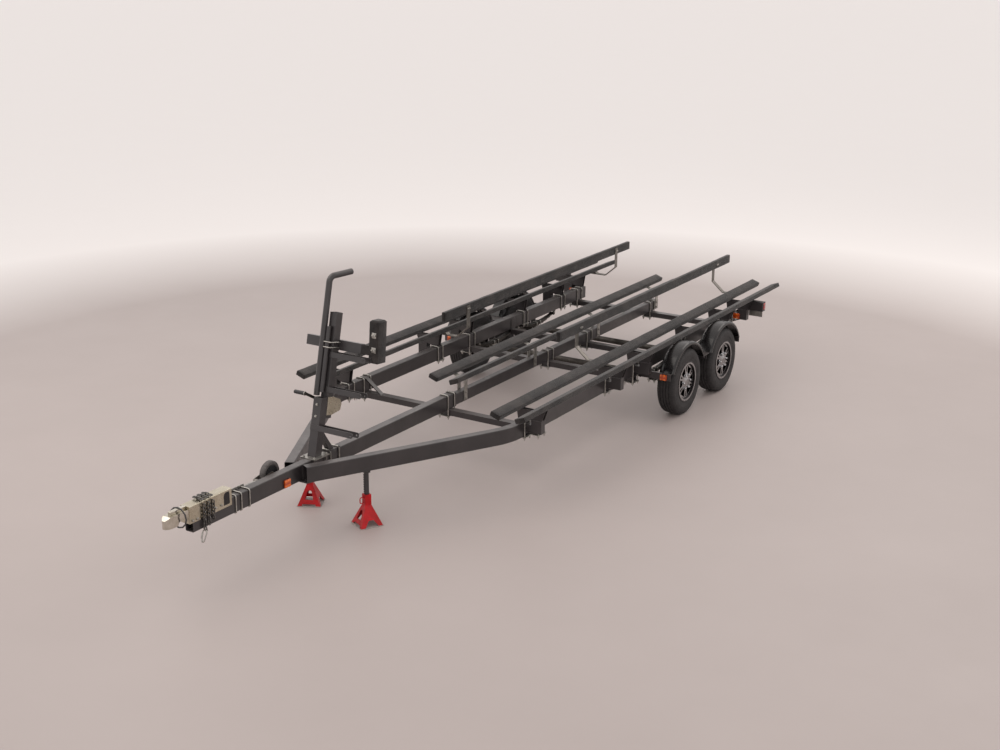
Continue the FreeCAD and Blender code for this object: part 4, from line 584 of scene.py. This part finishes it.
# shoulder and rib: from and to across the tread, and beyond which radius, in mm
tyreShape = {"radius": 322 * mm, "turns": 288, "groove": 8 * mm, "sipe": 5 * mm, "sipeEdge": 0.6 * mm,
             "shoulder": (50, 82, 300), "shoulderEvery": 4, "rib": (19, 39, 316), "ribEvery": 8,
             "ribShift": 2}
wheelPlaces = {"front_left": (-1179, 1560, 322), "front_right": (1179, 1560, 322),
               "rear_left": (-1179, 2410, 322), "rear_right": (1179, 2410, 322)}


def tyreModel(s):
    # half of the section as (x, r), mirrored about the middle
    tread, deep = s["radius"] / mm, s["groove"] / mm
    half = [(0, tread), (9, tread), (11, tread - deep), (17, tread - deep), (19, tread - 0.3),
            (39, tread - 1.2), (41, tread - deep), (48, tread - deep), (50, tread - 2), (63, tread - 4),
            (74, tread - 9), (80, tread - 16), (83, tread - 26), (85.5, tread - 34), (87, tread - 36),
            (88.5, tread - 50), (90, tread - 78), (89.6, tread - 84), (88, tread - 86), (87, tread - 108),
            (84, tread - 122), (86.5, tread - 126), (86, tread - 132), (80, tread - 140), (76, tread - 148),
            (66, tread - 147), (74, tread - 128), (82, tread - 90), (80, tread - 40), (60, tread - 16),
            (0, tread - 14)]
    section = half + [(-x, r) for x, r in reversed(half[1:-1])]
    mesh = bpy.data.meshes.new("tyre")
    mesh.from_pydata([(x * mm, 0, r * mm) for x, r in section], [(i, (i + 1) % len(section))
                     for i in range(len(section))], [])
    piece = bpy.data.objects.new("tyre", mesh)
    bpy.context.scene.collection.objects.link(piece)
    choose(piece)
    bpy.ops.object.mode_set(mode="EDIT")
    bpy.ops.mesh.select_all(action="SELECT")
    bpy.ops.mesh.spin(steps=s["turns"], angle=2 * math.pi, center=(0, 0, 0), axis=(1, 0, 0))
    bpy.ops.mesh.select_all(action="SELECT")
    bpy.ops.mesh.remove_doubles(threshold=1e-6)
    bpy.ops.mesh.normals_make_consistent(inside=False)
    bpy.ops.mesh.select_all(action="DESELECT")
    shape = bmesh.from_edit_mesh(piece.data)

    def within(centre, band):
        near, far, beyond = metres(*band)
        return near < abs(centre.x) < far and math.hypot(centre.y, centre.z) > beyond

    for face in shape.faces:
        centre = face.calc_center_median()
        turn = math.degrees(math.atan2(centre.y, centre.z)) % 360
        cell = int(turn / (360 / s["turns"]))
        outside = face.normal.dot(Vector((0, centre.y, centre.z))) > 0
        shoulder = within(centre, s["shoulder"]) and outside and cell % s["shoulderEvery"] == 0
        rib = within(centre, s["rib"]) and cell % s["ribEvery"] == s["ribShift"]
        face.select_set(shoulder or rib)
    bmesh.update_edit_mesh(piece.data)
    bpy.ops.mesh.inset(thickness=s["sipeEdge"], depth=-s["sipe"], use_boundary=True)
    bpy.ops.object.mode_set(mode="OBJECT")
    return piece


tyre = tyreModel(tyreShape)
wheelSettings = {"lugs": 6, "lugCircle": 69.85 * mm, "lugAcross": 20 * mm, "lugDeep": 20 * mm,
                 "face": 72 * mm, "stem": 3.6 * mm, "cap": 4.6 * mm}


def lugModel(s):
    body = barrel((0, 0, 0), (0, 0, s["lugDeep"]), s["lugAcross"] / math.sqrt(3), 6, 1 * mm, 1)
    dome = barrel((0, 0, s["lugDeep"] - 1 * mm), (0, 0, s["lugDeep"] + 4 * mm), s["lugAcross"] * 0.42, 16,
                  3 * mm, 3)
    seat = barrel((0, 0, -2 * mm), (0, 0, 2.5 * mm), s["lugAcross"] * 0.72, 18, 1 * mm, 1)
    return joined("lug", [body, dome, seat])


lug = lugModel(wheelSettings)
stemLine = [metres(60, 0, 168), metres(78, 0, 160), metres(92, 0, 152)]
capLine = [metres(84, 0, 156.5), metres(96, 0, 149.5)]
stem = joined("stem", [bentRod(stemLine, wheelSettings["stem"], 12 * mm, 2),
                       barrel(*capLine, wheelSettings["cap"], 12, 1 * mm, 1)])
for place, (x, y, z) in wheelPlaces.items():
    side = 1 if x > 0 else -1
    body = "wheel_" + place
    centre = Matrix.Translation((x * mm, y * mm, z * mm))
    turned = centre if side > 0 else centre @ Matrix.Rotation(math.pi, 4, "Z")
    settle(stamped("t", tyre, [turned]), "tyre_tread_" + place, body, "tyre_rubber", ["tyre_" + place], 32)
    lugs = []
    for step in range(wheelSettings["lugs"]):
        around = Matrix.Rotation(2 * math.pi * (step + 0.5) / wheelSettings["lugs"], 4, "X")
        seat = Matrix.Translation((wheelSettings["face"], 0, wheelSettings["lugCircle"]))
        lugs.append(turned @ around @ seat @ Matrix.Rotation(math.pi / 2, 4, "Y"))
    settle(stamped("l", lug, lugs), "lug_nuts_" + place, body, "chrome", (), 35, "lug_chrome")
    settle(stamped("v", stem, [turned]), "valve_" + place, body, "black_plastic", (), 40)
discard(tyre, lug, stem)

# dark disc and bright hub of the jack's caster, on both its sides
caster = {"x": -112, "y": -2865, "z": 545, "disc": 60, "discHalf": 27.1, "hub": 17, "hubHalf": 28}
for pieceName, size, slotName in (("caster_disc", "disc", "black_plastic"), ("caster_hub", "hub", "zinc")):
    half = caster[size + "Half"]
    ends = [metres(caster["x"] + way * half, caster["y"], caster["z"]) for way in (-1, 1)]
    settle(barrel(*ends, caster[size] * mm, 48), pieceName, "jack_caster", slotName)
print("wheels")


# Fasteners on the other nodes

boltSize = {"across": 17 * mm, "deep": 8 * mm, "washer": 10.5 * mm, "washerDeep": 2 * mm}
mastSize = {"lean": 13, "y": -2507, "z": 583}
mastLean = math.radians(mastSize["lean"])
mastPlace = Matrix(((1, 0, 0, 0), (0, math.cos(mastLean), math.sin(mastLean), mastSize["y"] * mm),
                    (0, -math.sin(mastLean), math.cos(mastLean), mastSize["z"] * mm), (0, 0, 0, 1)))
sideways = {"+x": (1, 0, 0), "-x": (-1, 0, 0), "+y": (0, 1, 0), "-y": (0, -1, 0), "+z": (0, 0, 1),
            "-z": (0, 0, -1)}


def facing(x, y, z, towards, frameOf=Matrix.Identity(4)):
    # place of a bolt head that stands on a face, given in mm
    turn = Vector(sideways[towards]).to_track_quat("Z", "Y").to_matrix().to_4x4()
    seat = Matrix.Translation((0, 0, boltSize["washerDeep"]))
    return frameOf @ Matrix.Translation(Vector((x, y, z)) * mm) @ turn @ seat


def headRow(xs, ys, zs, towards, frameOf=Matrix.Identity(4)):
    return [facing(x, y, z, towards, frameOf) for x in xs for y in ys for z in zs]


guideEnds = (578, 602, 3588, 3612)
springPins = (1235, 1985, 2735)
bracketFaces = (-855.5, 544.5, 1103.5, 2134.5, 2924.5, 3394.5)
# heads of one side, mirrored on the other: x, ys, zs and the way they look
sideHeads = {"centre bunk straps": (38, (-408, 790, 2048, 3375), (482, 536), "out"),
             "guides inside": (586, guideEnds, (985,), "in"),
             "guides outside": (632, guideEnds, (985,), "out"),
             "spring pins outside": (936, springPins, (430,), "out"),
             "spring pins inside": (880, springPins, (430,), "in"),
             "brackets inside": (977, bracketFaces, (672,), "+y"),
             "brackets outside": (1021, bracketFaces, (672,), "+y"),
             "housing front": (42, (-3850, -3805), (545,), "out"),
             "housing rear": (42, (-3620, -3560), (560,), "out")}
tongueHeads = ((-24, 24), (-2670, -2595), (450,), "-z")
# in the mast's own frame
mastHeads = {"front": ((0,), (0,), (407, 316), "-y"), "rear": ((0,), (149,), (560, 700), "+y"),
             "crossbar": ((-37, 37), (199,), (850, 890), "+y")}

bolt = nutModel(boltSize)
heads = headRow(*tongueHeads)
for x, ys, zs, look in sideHeads.values():
    for side, outwards, inwards in ((-1, "-x", "+x"), (1, "+x", "-x")):
        heads += headRow((x * side,), ys, zs, {"out": outwards, "in": inwards}.get(look, look))
for row in mastHeads.values():
    heads += headRow(*row, mastPlace)
settle(stamped("b", bolt, heads), "bolt_heads", "frame", "zinc")

# bolts of the mast's foot, set on the ones the CAD node has
footSize = {"above": 590, "cell": 60, "middle": -2462, "top": 583, "under": 444}
braceSize = {"half": 50.4, "rod": 6.6, "low": 417, "high": 595.1, "legs": 44, "y": (-2328, -2220)}
feet = {}
for corner in frame["nodes"]["mast_base"].data.vertices:
    if corner.co.z > footSize["above"] * mm:
        cell = footSize["cell"] * mm
        key = (round(corner.co.x / cell), round((corner.co.y - footSize["middle"] * mm) / cell))
        feet.setdefault(key, []).append(corner.co)
footHeads = headRow((-braceSize["legs"], braceSize["legs"]), braceSize["y"], (footSize["under"],), "-z")
for points in feet.values():
    low, high = span(points)
    centre = (low + high) / 2 / mm
    footHeads += [facing(centre.x, centre.y, footSize["top"], "+z"),
                  facing(centre.x, centre.y, footSize["under"], "-z")]
settle(stamped("m", bolt, footHeads), "mast_foot_bolts", "frame", "zinc")

# straps that hold the crossbar to the upper post, in the mast's own frame
strapSize = {"half": 42, "front": 28, "rear": 214, "rod": 5, "z": (850, 890)}
wraps = [uBolt(metres(-strapSize["half"], strapSize["front"], z - strapSize["rod"]),
               metres(strapSize["half"], strapSize["rear"], z + strapSize["rod"]), "+y",
               strapSize["rod"] * mm)[0] for z in strapSize["z"]]
wrapPiece = joined("wraps", wraps)
wrapPiece.data.transform(mastPlace)
settle(wrapPiece, "crossbar_straps", "frame", "zinc", (), 40)

# zinc clips on the front of the bow pad, and its bolts; a layer is half its height, front and edge
padSize = {"lean": 8, "at": (355, 192, 947), "left": -16, "right": 24, "face": -52.2, "z": (-62, 52),
           "layers": ((22, -56, 1.5), (5, -58, 2)), "bolts": (-6, 14), "boltFace": -56}
padPlace = (mastPlace @ Matrix.Translation(metres(*padSize["at"]))
            @ Matrix.Rotation(math.radians(padSize["lean"]), 4, "X"))
clips = [block(metres(padSize["left"], front, z - high), metres(padSize["right"], padSize["face"], z + high),
               edge * mm, 2) for z in padSize["z"] for high, front, edge in padSize["layers"]]
padBolts = stamped("p", bolt, headRow(padSize["bolts"], (padSize["boltFace"],), padSize["z"], "-y"))
clipPiece = joined("clips", clips + [padBolts])
clipPiece.data.transform(padPlace)
settle(clipPiece, "pad_clips", "frame", "zinc")
print("bolts", len(heads) + len(footHeads))


# Small parts of the mast and the coupler

# U-bolts that clamp the mast's brace to the tongue
braceBolts = [uBolt(metres(-braceSize["half"], y - braceSize["rod"], braceSize["low"]),
                    metres(braceSize["half"], y + braceSize["rod"], braceSize["high"]), "-z",
                    braceSize["rod"] * mm)[0] for y in braceSize["y"]]
settle(joined("brace", braceBolts), "brace_ubolts", "frame", "zinc", (), 40)

# grip of the winch crank, with the collar it turns against
gripSize = {"y": -2458.2, "z": 1065.4, "start": -178.5, "end": -84, "radius": 15.5, "collar": 17,
            "collarEnd": -78}
gripEnds = [metres(gripSize[end], gripSize["y"], gripSize["z"]) for end in ("start", "end", "collarEnd")]
settle(barrel(*gripEnds[:2], gripSize["radius"] * mm, 32, 4 * mm, 3), "crank_grip", "frame", "black_plastic")
settle(barrel(*gripEnds[1:], gripSize["collar"] * mm, 28, 1.5 * mm, 2), "crank_collar", "frame", "zinc")

# plated lever over the coupler's latch
latchSize = {"low": (-14.5, -4027, 634.5), "high": (14.5, -3880, 662), "round": 5}
latch = block(metres(*latchSize["low"]), metres(*latchSize["high"]), latchSize["round"] * mm, 3)
settle(latch, "latch_lever", "frame", "chrome")

# painted shade: a glossy black block stands in the dark mouth at the rear of the brake housing, round at its
# top, where the arch lies a little deeper
mouthShade = {"from": -3532, "to": -3472, "low": 545, "high": 640, "out": 42.7, "archOut": 42.4}
mouthAt, mouthRadius = (mouthShade["from"] + mouthShade["to"]) / 2, (mouthShade["to"] - mouthShade["from"]) / 2
mouthTop = mouthShade["high"] - mouthRadius
archEnds = [metres(way * mouthShade["archOut"], mouthAt, mouthTop) for way in (-1, 1)]
mouthShadePieces = [block(metres(-mouthShade["out"], mouthShade["from"], mouthShade["low"]),
                     metres(mouthShade["out"], mouthShade["to"], mouthTop)),
               barrel(*archEnds, mouthRadius * mm, 48)]
# the shade in the mouth is painted with the fender's gloss black
settle(joined("mouthShade", mouthShadePieces), "housing_mouth_shade", "frame", "black_plastic", look="fender_black")
print("small parts")


# Chains and hooks

linkSize = {"rod": 4.8 * mm, "long": 46 * mm, "wide": 30 * mm}
hookSize = {"long": 104 * mm, "wide": 48 * mm, "rod": 5 * mm, "taper": 0.62, "swing": 22, "gate": 6.6 * mm,
            "eye": 7.4 * mm}


def ownAxes(points):
    # turned frame at a solid's centre: its longest way on X, its thinnest on Z
    middle = sum(points, Vector()) / len(points)
    tensor = Matrix([[sum((p[i] - middle[i]) * (p[j] - middle[j]) for p in points) for j in range(3)]
                     for i in range(3)])

    def strongest(matrix, seed):
        # power steps towards the matrix's main direction
        way = Vector(seed)
        for step in range(60):
            way = (matrix @ way).normalized()
        return way

    first = strongest(tensor, (0.31, 0.52, 0.79))
    weight = (tensor @ first).dot(first)
    rest = Matrix([[tensor[i][j] - weight * first[i] * first[j] for j in range(3)] for i in range(3)])
    second = strongest(rest, (0.83, -0.41, 0.37))
    third = first.cross(second).normalized()
    second = third.cross(first)
    turn = Matrix([[first[i], second[i], third[i]] for i in range(3)]).to_4x4()
    return Matrix.Translation(middle) @ turn


def ringModel(long, wide, rod, steps=10, taper=1.0):
    # stadium of round bar, narrower at one end by taper
    straight, turnRadius = long / 2 - wide / 2, wide / 2 - rod
    path = []
    for sign, size in ((1, taper), (-1, 1.0)):
        for step in range(steps + 1):
            angle = math.pi * (step / steps - 0.5) + (0 if sign > 0 else math.pi)
            path.append((sign * straight + turnRadius * size * math.cos(angle),
                         turnRadius * size * math.sin(angle), 0))
    return bentRod(path, rod, 0, 2, closed=True)


link = ringModel(linkSize["long"], linkSize["wide"], linkSize["rod"])
places = [ownAxes(points) for points in islands("safety_chains")]
settle(stamped("c", link, places), "chain_links", "frame", "zinc", ["safety_chains"], 60, "chain_steel")
# the ring, the sleeve of its gate and the eye's collar
hookRing = ringModel(hookSize["long"], hookSize["wide"], hookSize["rod"], 12, hookSize["taper"])
hookGate = barrel(metres(-20, 19, 0), metres(18, 17, 0), hookSize["gate"], 14, 1 * mm, 1)
hookEye = barrel(metres(-46, -5, 0), metres(-46, 5, 0), hookSize["eye"], 14, 1.2 * mm, 1)
hookModel = joined("hook", [hookRing, hookGate, hookEye])
drop = Matrix.Translation((-hookSize["long"] / 2, 0, 0))
upright = (Matrix.Rotation(-math.pi / 2, 4, "Y") @ drop @ Matrix.Rotation(math.pi / 2, 4, "X")
           @ Matrix.Rotation(math.pi, 4, "Y"))
places = []
for points in islands("chain_hooks"):
    # each hook hangs from its top and swings towards the other
    low, high = span(points)
    top = Vector(((low.x + high.x) / 2, (low.y + high.y) / 2, high.z))
    lean = math.radians(hookSize["swing"]) * (-1 if top.x > 0 else 1)
    places.append(Matrix.Translation(top) @ Matrix.Rotation(lean, 4, "X") @ upright)
settle(stamped("h", hookModel, places), "snap_hooks", "frame", "zinc", ["chain_hooks"], 60)
discard(link, hookModel)
print("chains")


# Jack stands

# lever: its corners as (out from the sleeve, up); toothFront and toothRear: y from the post's axis
standSize = {"turn": 27.6, "foot": 95, "wire": 3, "sleeve": 28, "ring": 4, "ringBend": 13,
             "lever": ((0, 230), (30, 228), (30, 176), (0, 186)), "pivot": 6, "pivotHalf": 14, "pivotOut": 1,
             "pivotAt": 226, "teeth": range(268, 428, 20), "toothHigh": 11, "toothHalf": 6, "toothFront": -24,
             "toothRear": -14}


def standDetail(centre, turn, s):
    # wire round the feet, ratchet lever on the sleeve and teeth of the post, front face to -Y
    square = ((-1, -1), (1, -1), (1, 1), (-1, 1))
    corners = [metres(x * s["foot"], y * s["foot"], s["wire"]) for x, y in square]
    base = bentRod(corners, s["wire"] * mm, 0, 3, closed=True)
    ring = [metres(0, -s["sleeve"] - out, up) for out, up in s["lever"]]
    lever = bentRod(ring, s["ring"] * mm, s["ringBend"] * mm, 3)
    pivotEnds = [metres(way * s["pivotHalf"], -s["sleeve"] - s["pivotOut"], s["pivotAt"]) for way in (-1, 1)]
    pivot = barrel(*pivotEnds, s["pivot"] * mm, 16, 1 * mm, 1)
    teeth = [block(metres(-s["toothHalf"], s["toothFront"], low),
                   metres(s["toothHalf"], s["toothRear"], low + s["toothHigh"]), 2 * mm, 2)
             for low in s["teeth"]]
    place = Matrix.Translation(centre) @ Matrix.Rotation(turn, 4, "Z")
    groups = joined("base", [base]), joined("lever", [lever, pivot]), joined("teeth", teeth)
    for group in groups:
        group.data.transform(place)
    return groups


for points in islands("stand_posts"):
    low, high = span(points)
    side = 1 if low.x > 0 else -1
    centre = Vector(((low.x + high.x) / 2, (low.y + high.y) / 2, 0))
    turn = -side * math.radians(standSize["turn"]) + (0 if side > 0 else math.pi)
    label = "left" if side > 0 else "right"
    base, lever, teeth = standDetail(centre, turn, standSize)
    settle(base, "stand_wire_" + label, "frame", "zinc", (), 40)
    settle(lever, "stand_lever_" + label, "frame", "stand_red", (), 40)
    settle(teeth, "stand_teeth_" + label, "frame", "frame_black")
print("stands")


# Lamps

# a rib starts at gap and ends at share of its pitch
lampSettings = {"round": 4 * mm, "rib": 1.0 * mm, "pitch": 7.5 * mm, "margin": 7 * mm, "gap": 0.6 * mm,
                "share": 0.8, "sink": 2 * mm, "ribRound": 0.8 * mm}
sideLens = {"half": 3 * mm, "long": 46 * mm, "past": 2 * mm, "inset": 12 * mm}
screwPlaces = {"radius": 4 * mm, "deep": 2.5 * mm, "x": (-1096, -1248, 1096, 1248), "y": (3477,),
               "z": (599, 685)}


def lensPiece(low, high, face, s):
    # rounded lens with moulded ribs; face is the axis it looks along
    axis, sign = "xyz".index(face[1]), 1 if face[0] == "+" else -1
    body = block(low, high, s["round"], 3)
    across = [i for i in range(3) if i != axis]
    run = max(across, key=lambda i: high[i] - low[i])
    rise = [i for i in across if i != run][0]
    ribbed = high[run] - low[run] - 2 * s["margin"]
    count = int(ribbed / s["pitch"])
    outside = high[axis] if sign > 0 else low[axis]
    ribs = []
    for step in range(count):
        start, end = Vector(low), Vector(high)
        first = low[run] + s["margin"] + step * ribbed / count
        start[run], end[run] = first + s["gap"], first + s["pitch"] * s["share"]
        start[rise], end[rise] = low[rise] + s["margin"], high[rise] - s["margin"]
        start[axis], end[axis] = sorted((outside - sign * s["sink"], outside + sign * s["rib"]))
        ribs.append(block(start, end, s["ribRound"], 1))
    return joined("lens", [body] + ribs)


tails = [lensPiece(*span(points), "+y", lampSettings) for points in islands("tail_light_lenses")]
settle(joined("tails", tails), "tail_lenses", "frame", "red_lens", ["tail_light_lenses"])
sides = []
for points in islands("tail_light_housings"):
    # red lens wrapped round the lamp's outer end
    low, high = span(points)
    outer, towards = (high.x, "+x") if high.x > 0 else (low.x, "-x")
    start = Vector((outer - sideLens["half"], high.y - sideLens["long"], low.z + sideLens["inset"]))
    end = Vector((outer + sideLens["half"], high.y + sideLens["past"], high.z - sideLens["inset"]))
    sides.append(lensPiece(start, end, towards, lampSettings | {"round": 2 * mm, "rib": 0.8 * mm}))
settle(joined("sides", sides), "side_lenses", "frame", "red_lens")
markers = []
for points in islands("amber_markers"):
    low, high = span(points)
    size, centre = high - low, (low + high) / 2
    axis = min(range(3), key=lambda i: size[i])
    # markers that look along the trailer look away from its axles
    behind = centre[axis] > (2.0 if axis == 1 else 0.0)
    towards = ("+" if behind else "-") + "xyz"[axis]
    markers.append(lensPiece(low, high, towards, lampSettings | {"round": 3 * mm, "pitch": 6 * mm}))
settle(joined("markers", markers), "marker_lenses", "frame", "amber_lens", ["amber_markers"])
lampScrew = barrel((0, 0, 0), (0, 0, screwPlaces["deep"]), screwPlaces["radius"], 16, 1 * mm, 2)
screwAt = headRow(screwPlaces["x"], screwPlaces["y"], screwPlaces["z"], "+y")
settle(stamped("s", lampScrew, screwAt), "lamp_screws", "frame", "zinc", (), 40)
discard(lampScrew)
print("lamps")


# Winch

strapRoll = {"inner": 34 * mm, "outer": 46 * mm, "layers": 5, "half": 27 * mm, "slip": 0.7 * mm,
             "edge": 0.8 * mm, "at": (0, 205, 395)}


def rolledStrap(s):
    # webbing wound on the drum, each turn a little to one side of the last
    turns = []
    for layer in range(s["layers"]):
        radius = s["outer"] - layer * (s["outer"] - s["inner"]) / s["layers"]
        slip = s["slip"] * math.sin(layer * 2.3)
        turns.append(barrel((-s["half"] + slip, 0, 0), (s["half"] + slip, 0, 0), radius, 48, s["edge"], 2))
    return joined("roll", turns)


roll = rolledStrap(strapRoll)
roll.data.transform(mastPlace @ Matrix.Translation(metres(*strapRoll["at"])))
settle(roll, "winch_strap", "frame", "black_plastic", look="webbing")
discard(bolt)
print("winch")


# Floor, light, camera

floorLook = {"dark": "#aaa09d", "light": "#aea4a1", "stain": 2500, "grain": 8, "rough": (0.45, 0.52),
             "bump": 0.02, "depth": 0.1, "speckle": 0.03, "fleck": "#a29895", "far": "#f2eeec",
             "farFrom": 6.3, "farTo": 9.5, "radius": 90}


def stageMaterial(look):
    # grey under the trailer, white further out like the room's walls
    made = surface("floor", look)
    tree = made.node_tree
    shader = tree.nodes["Principled BSDF"]
    place = add(tree, "TexCoord").outputs["Object"]
    reach = add(tree, "VectorMath", {0: place}, operation="LENGTH").outputs["Value"]
    before = shader.inputs["Base Color"].links[0].from_socket
    far = spread(tree, reach, look["farFrom"], look["farTo"])
    tree.links.new(blend(tree, far, before, linear(look["far"])), shader.inputs["Base Color"])
    return made


deselect()
bpy.ops.mesh.primitive_circle_add(vertices=96, radius=floorLook["radius"], fill_type="NGON")
stage = bpy.context.object
stage.name = "floor"
stage.data.materials.append(stageMaterial(floorLook))

lightLook = {"sky": "#f1ecea", "skyStrength": 1.05, "lamp": "#fff7f0"}
world = bpy.data.worlds.new("studio")
bpy.context.scene.world = world
world.use_nodes = True
background = world.node_tree.nodes["Background"]
background.inputs["Color"].default_value = linear(lightLook["sky"])
background.inputs["Strength"].default_value = lightLook["skyStrength"]

# place, target, size in metres, power in watts
lamps = [((-3.0, -3.0, 6.5), (0, 0, 0.4), 7.0, 190), ((5.5, -7.5, 5.5), (0, 0, 0.5), 5.0, 60),
         ((3.0, 6.5, 6.5), (0, 1.5, 0.4), 5.0, 150)]
for index, (at, target, size, power) in enumerate(lamps):
    light = bpy.data.lights.new("lamp%d" % index, "AREA")
    light.shape, light.size, light.energy = "SQUARE", size, power
    light.color = linear(lightLook["lamp"])[:3]
    holder = bpy.data.objects.new("lamp%d" % index, light)
    holder.location = at
    holder.rotation_euler = (Vector(target) - Vector(at)).to_track_quat("-Z", "Y").to_euler()
    bpy.context.scene.collection.objects.link(holder)

cameraSettings = {"at": (6.780, -10.659, 4.549), "azimuth": 31.936, "elevation": 17.438, "roll": 0.375,
                  "lens": 52.70}


def photoCamera(s):
    az, el, roll = (math.radians(s[k]) for k in ("azimuth", "elevation", "roll"))
    back = Vector((math.sin(az) * math.cos(el), -math.cos(az) * math.cos(el), math.sin(el)))
    right = Vector((math.cos(az), math.sin(az), 0))
    up = back.cross(right)
    turned = (right * math.cos(roll) + up * math.sin(roll), up * math.cos(roll) - right * math.sin(roll),
              back)
    data = bpy.data.cameras.new("camera")
    data.lens, data.sensor_width, data.clip_end = s["lens"], 36, 200
    camera = bpy.data.objects.new("camera", data)
    rows = [[turned[c][r] for c in range(3)] + [s["at"][r]] for r in range(3)]
    camera.matrix_world = Matrix(rows + [[0, 0, 0, 1]])
    bpy.context.scene.collection.objects.link(camera)
    return camera


bpy.context.scene.camera = photoCamera(cameraSettings)
bpy.context.scene.view_settings.view_transform = "Standard"
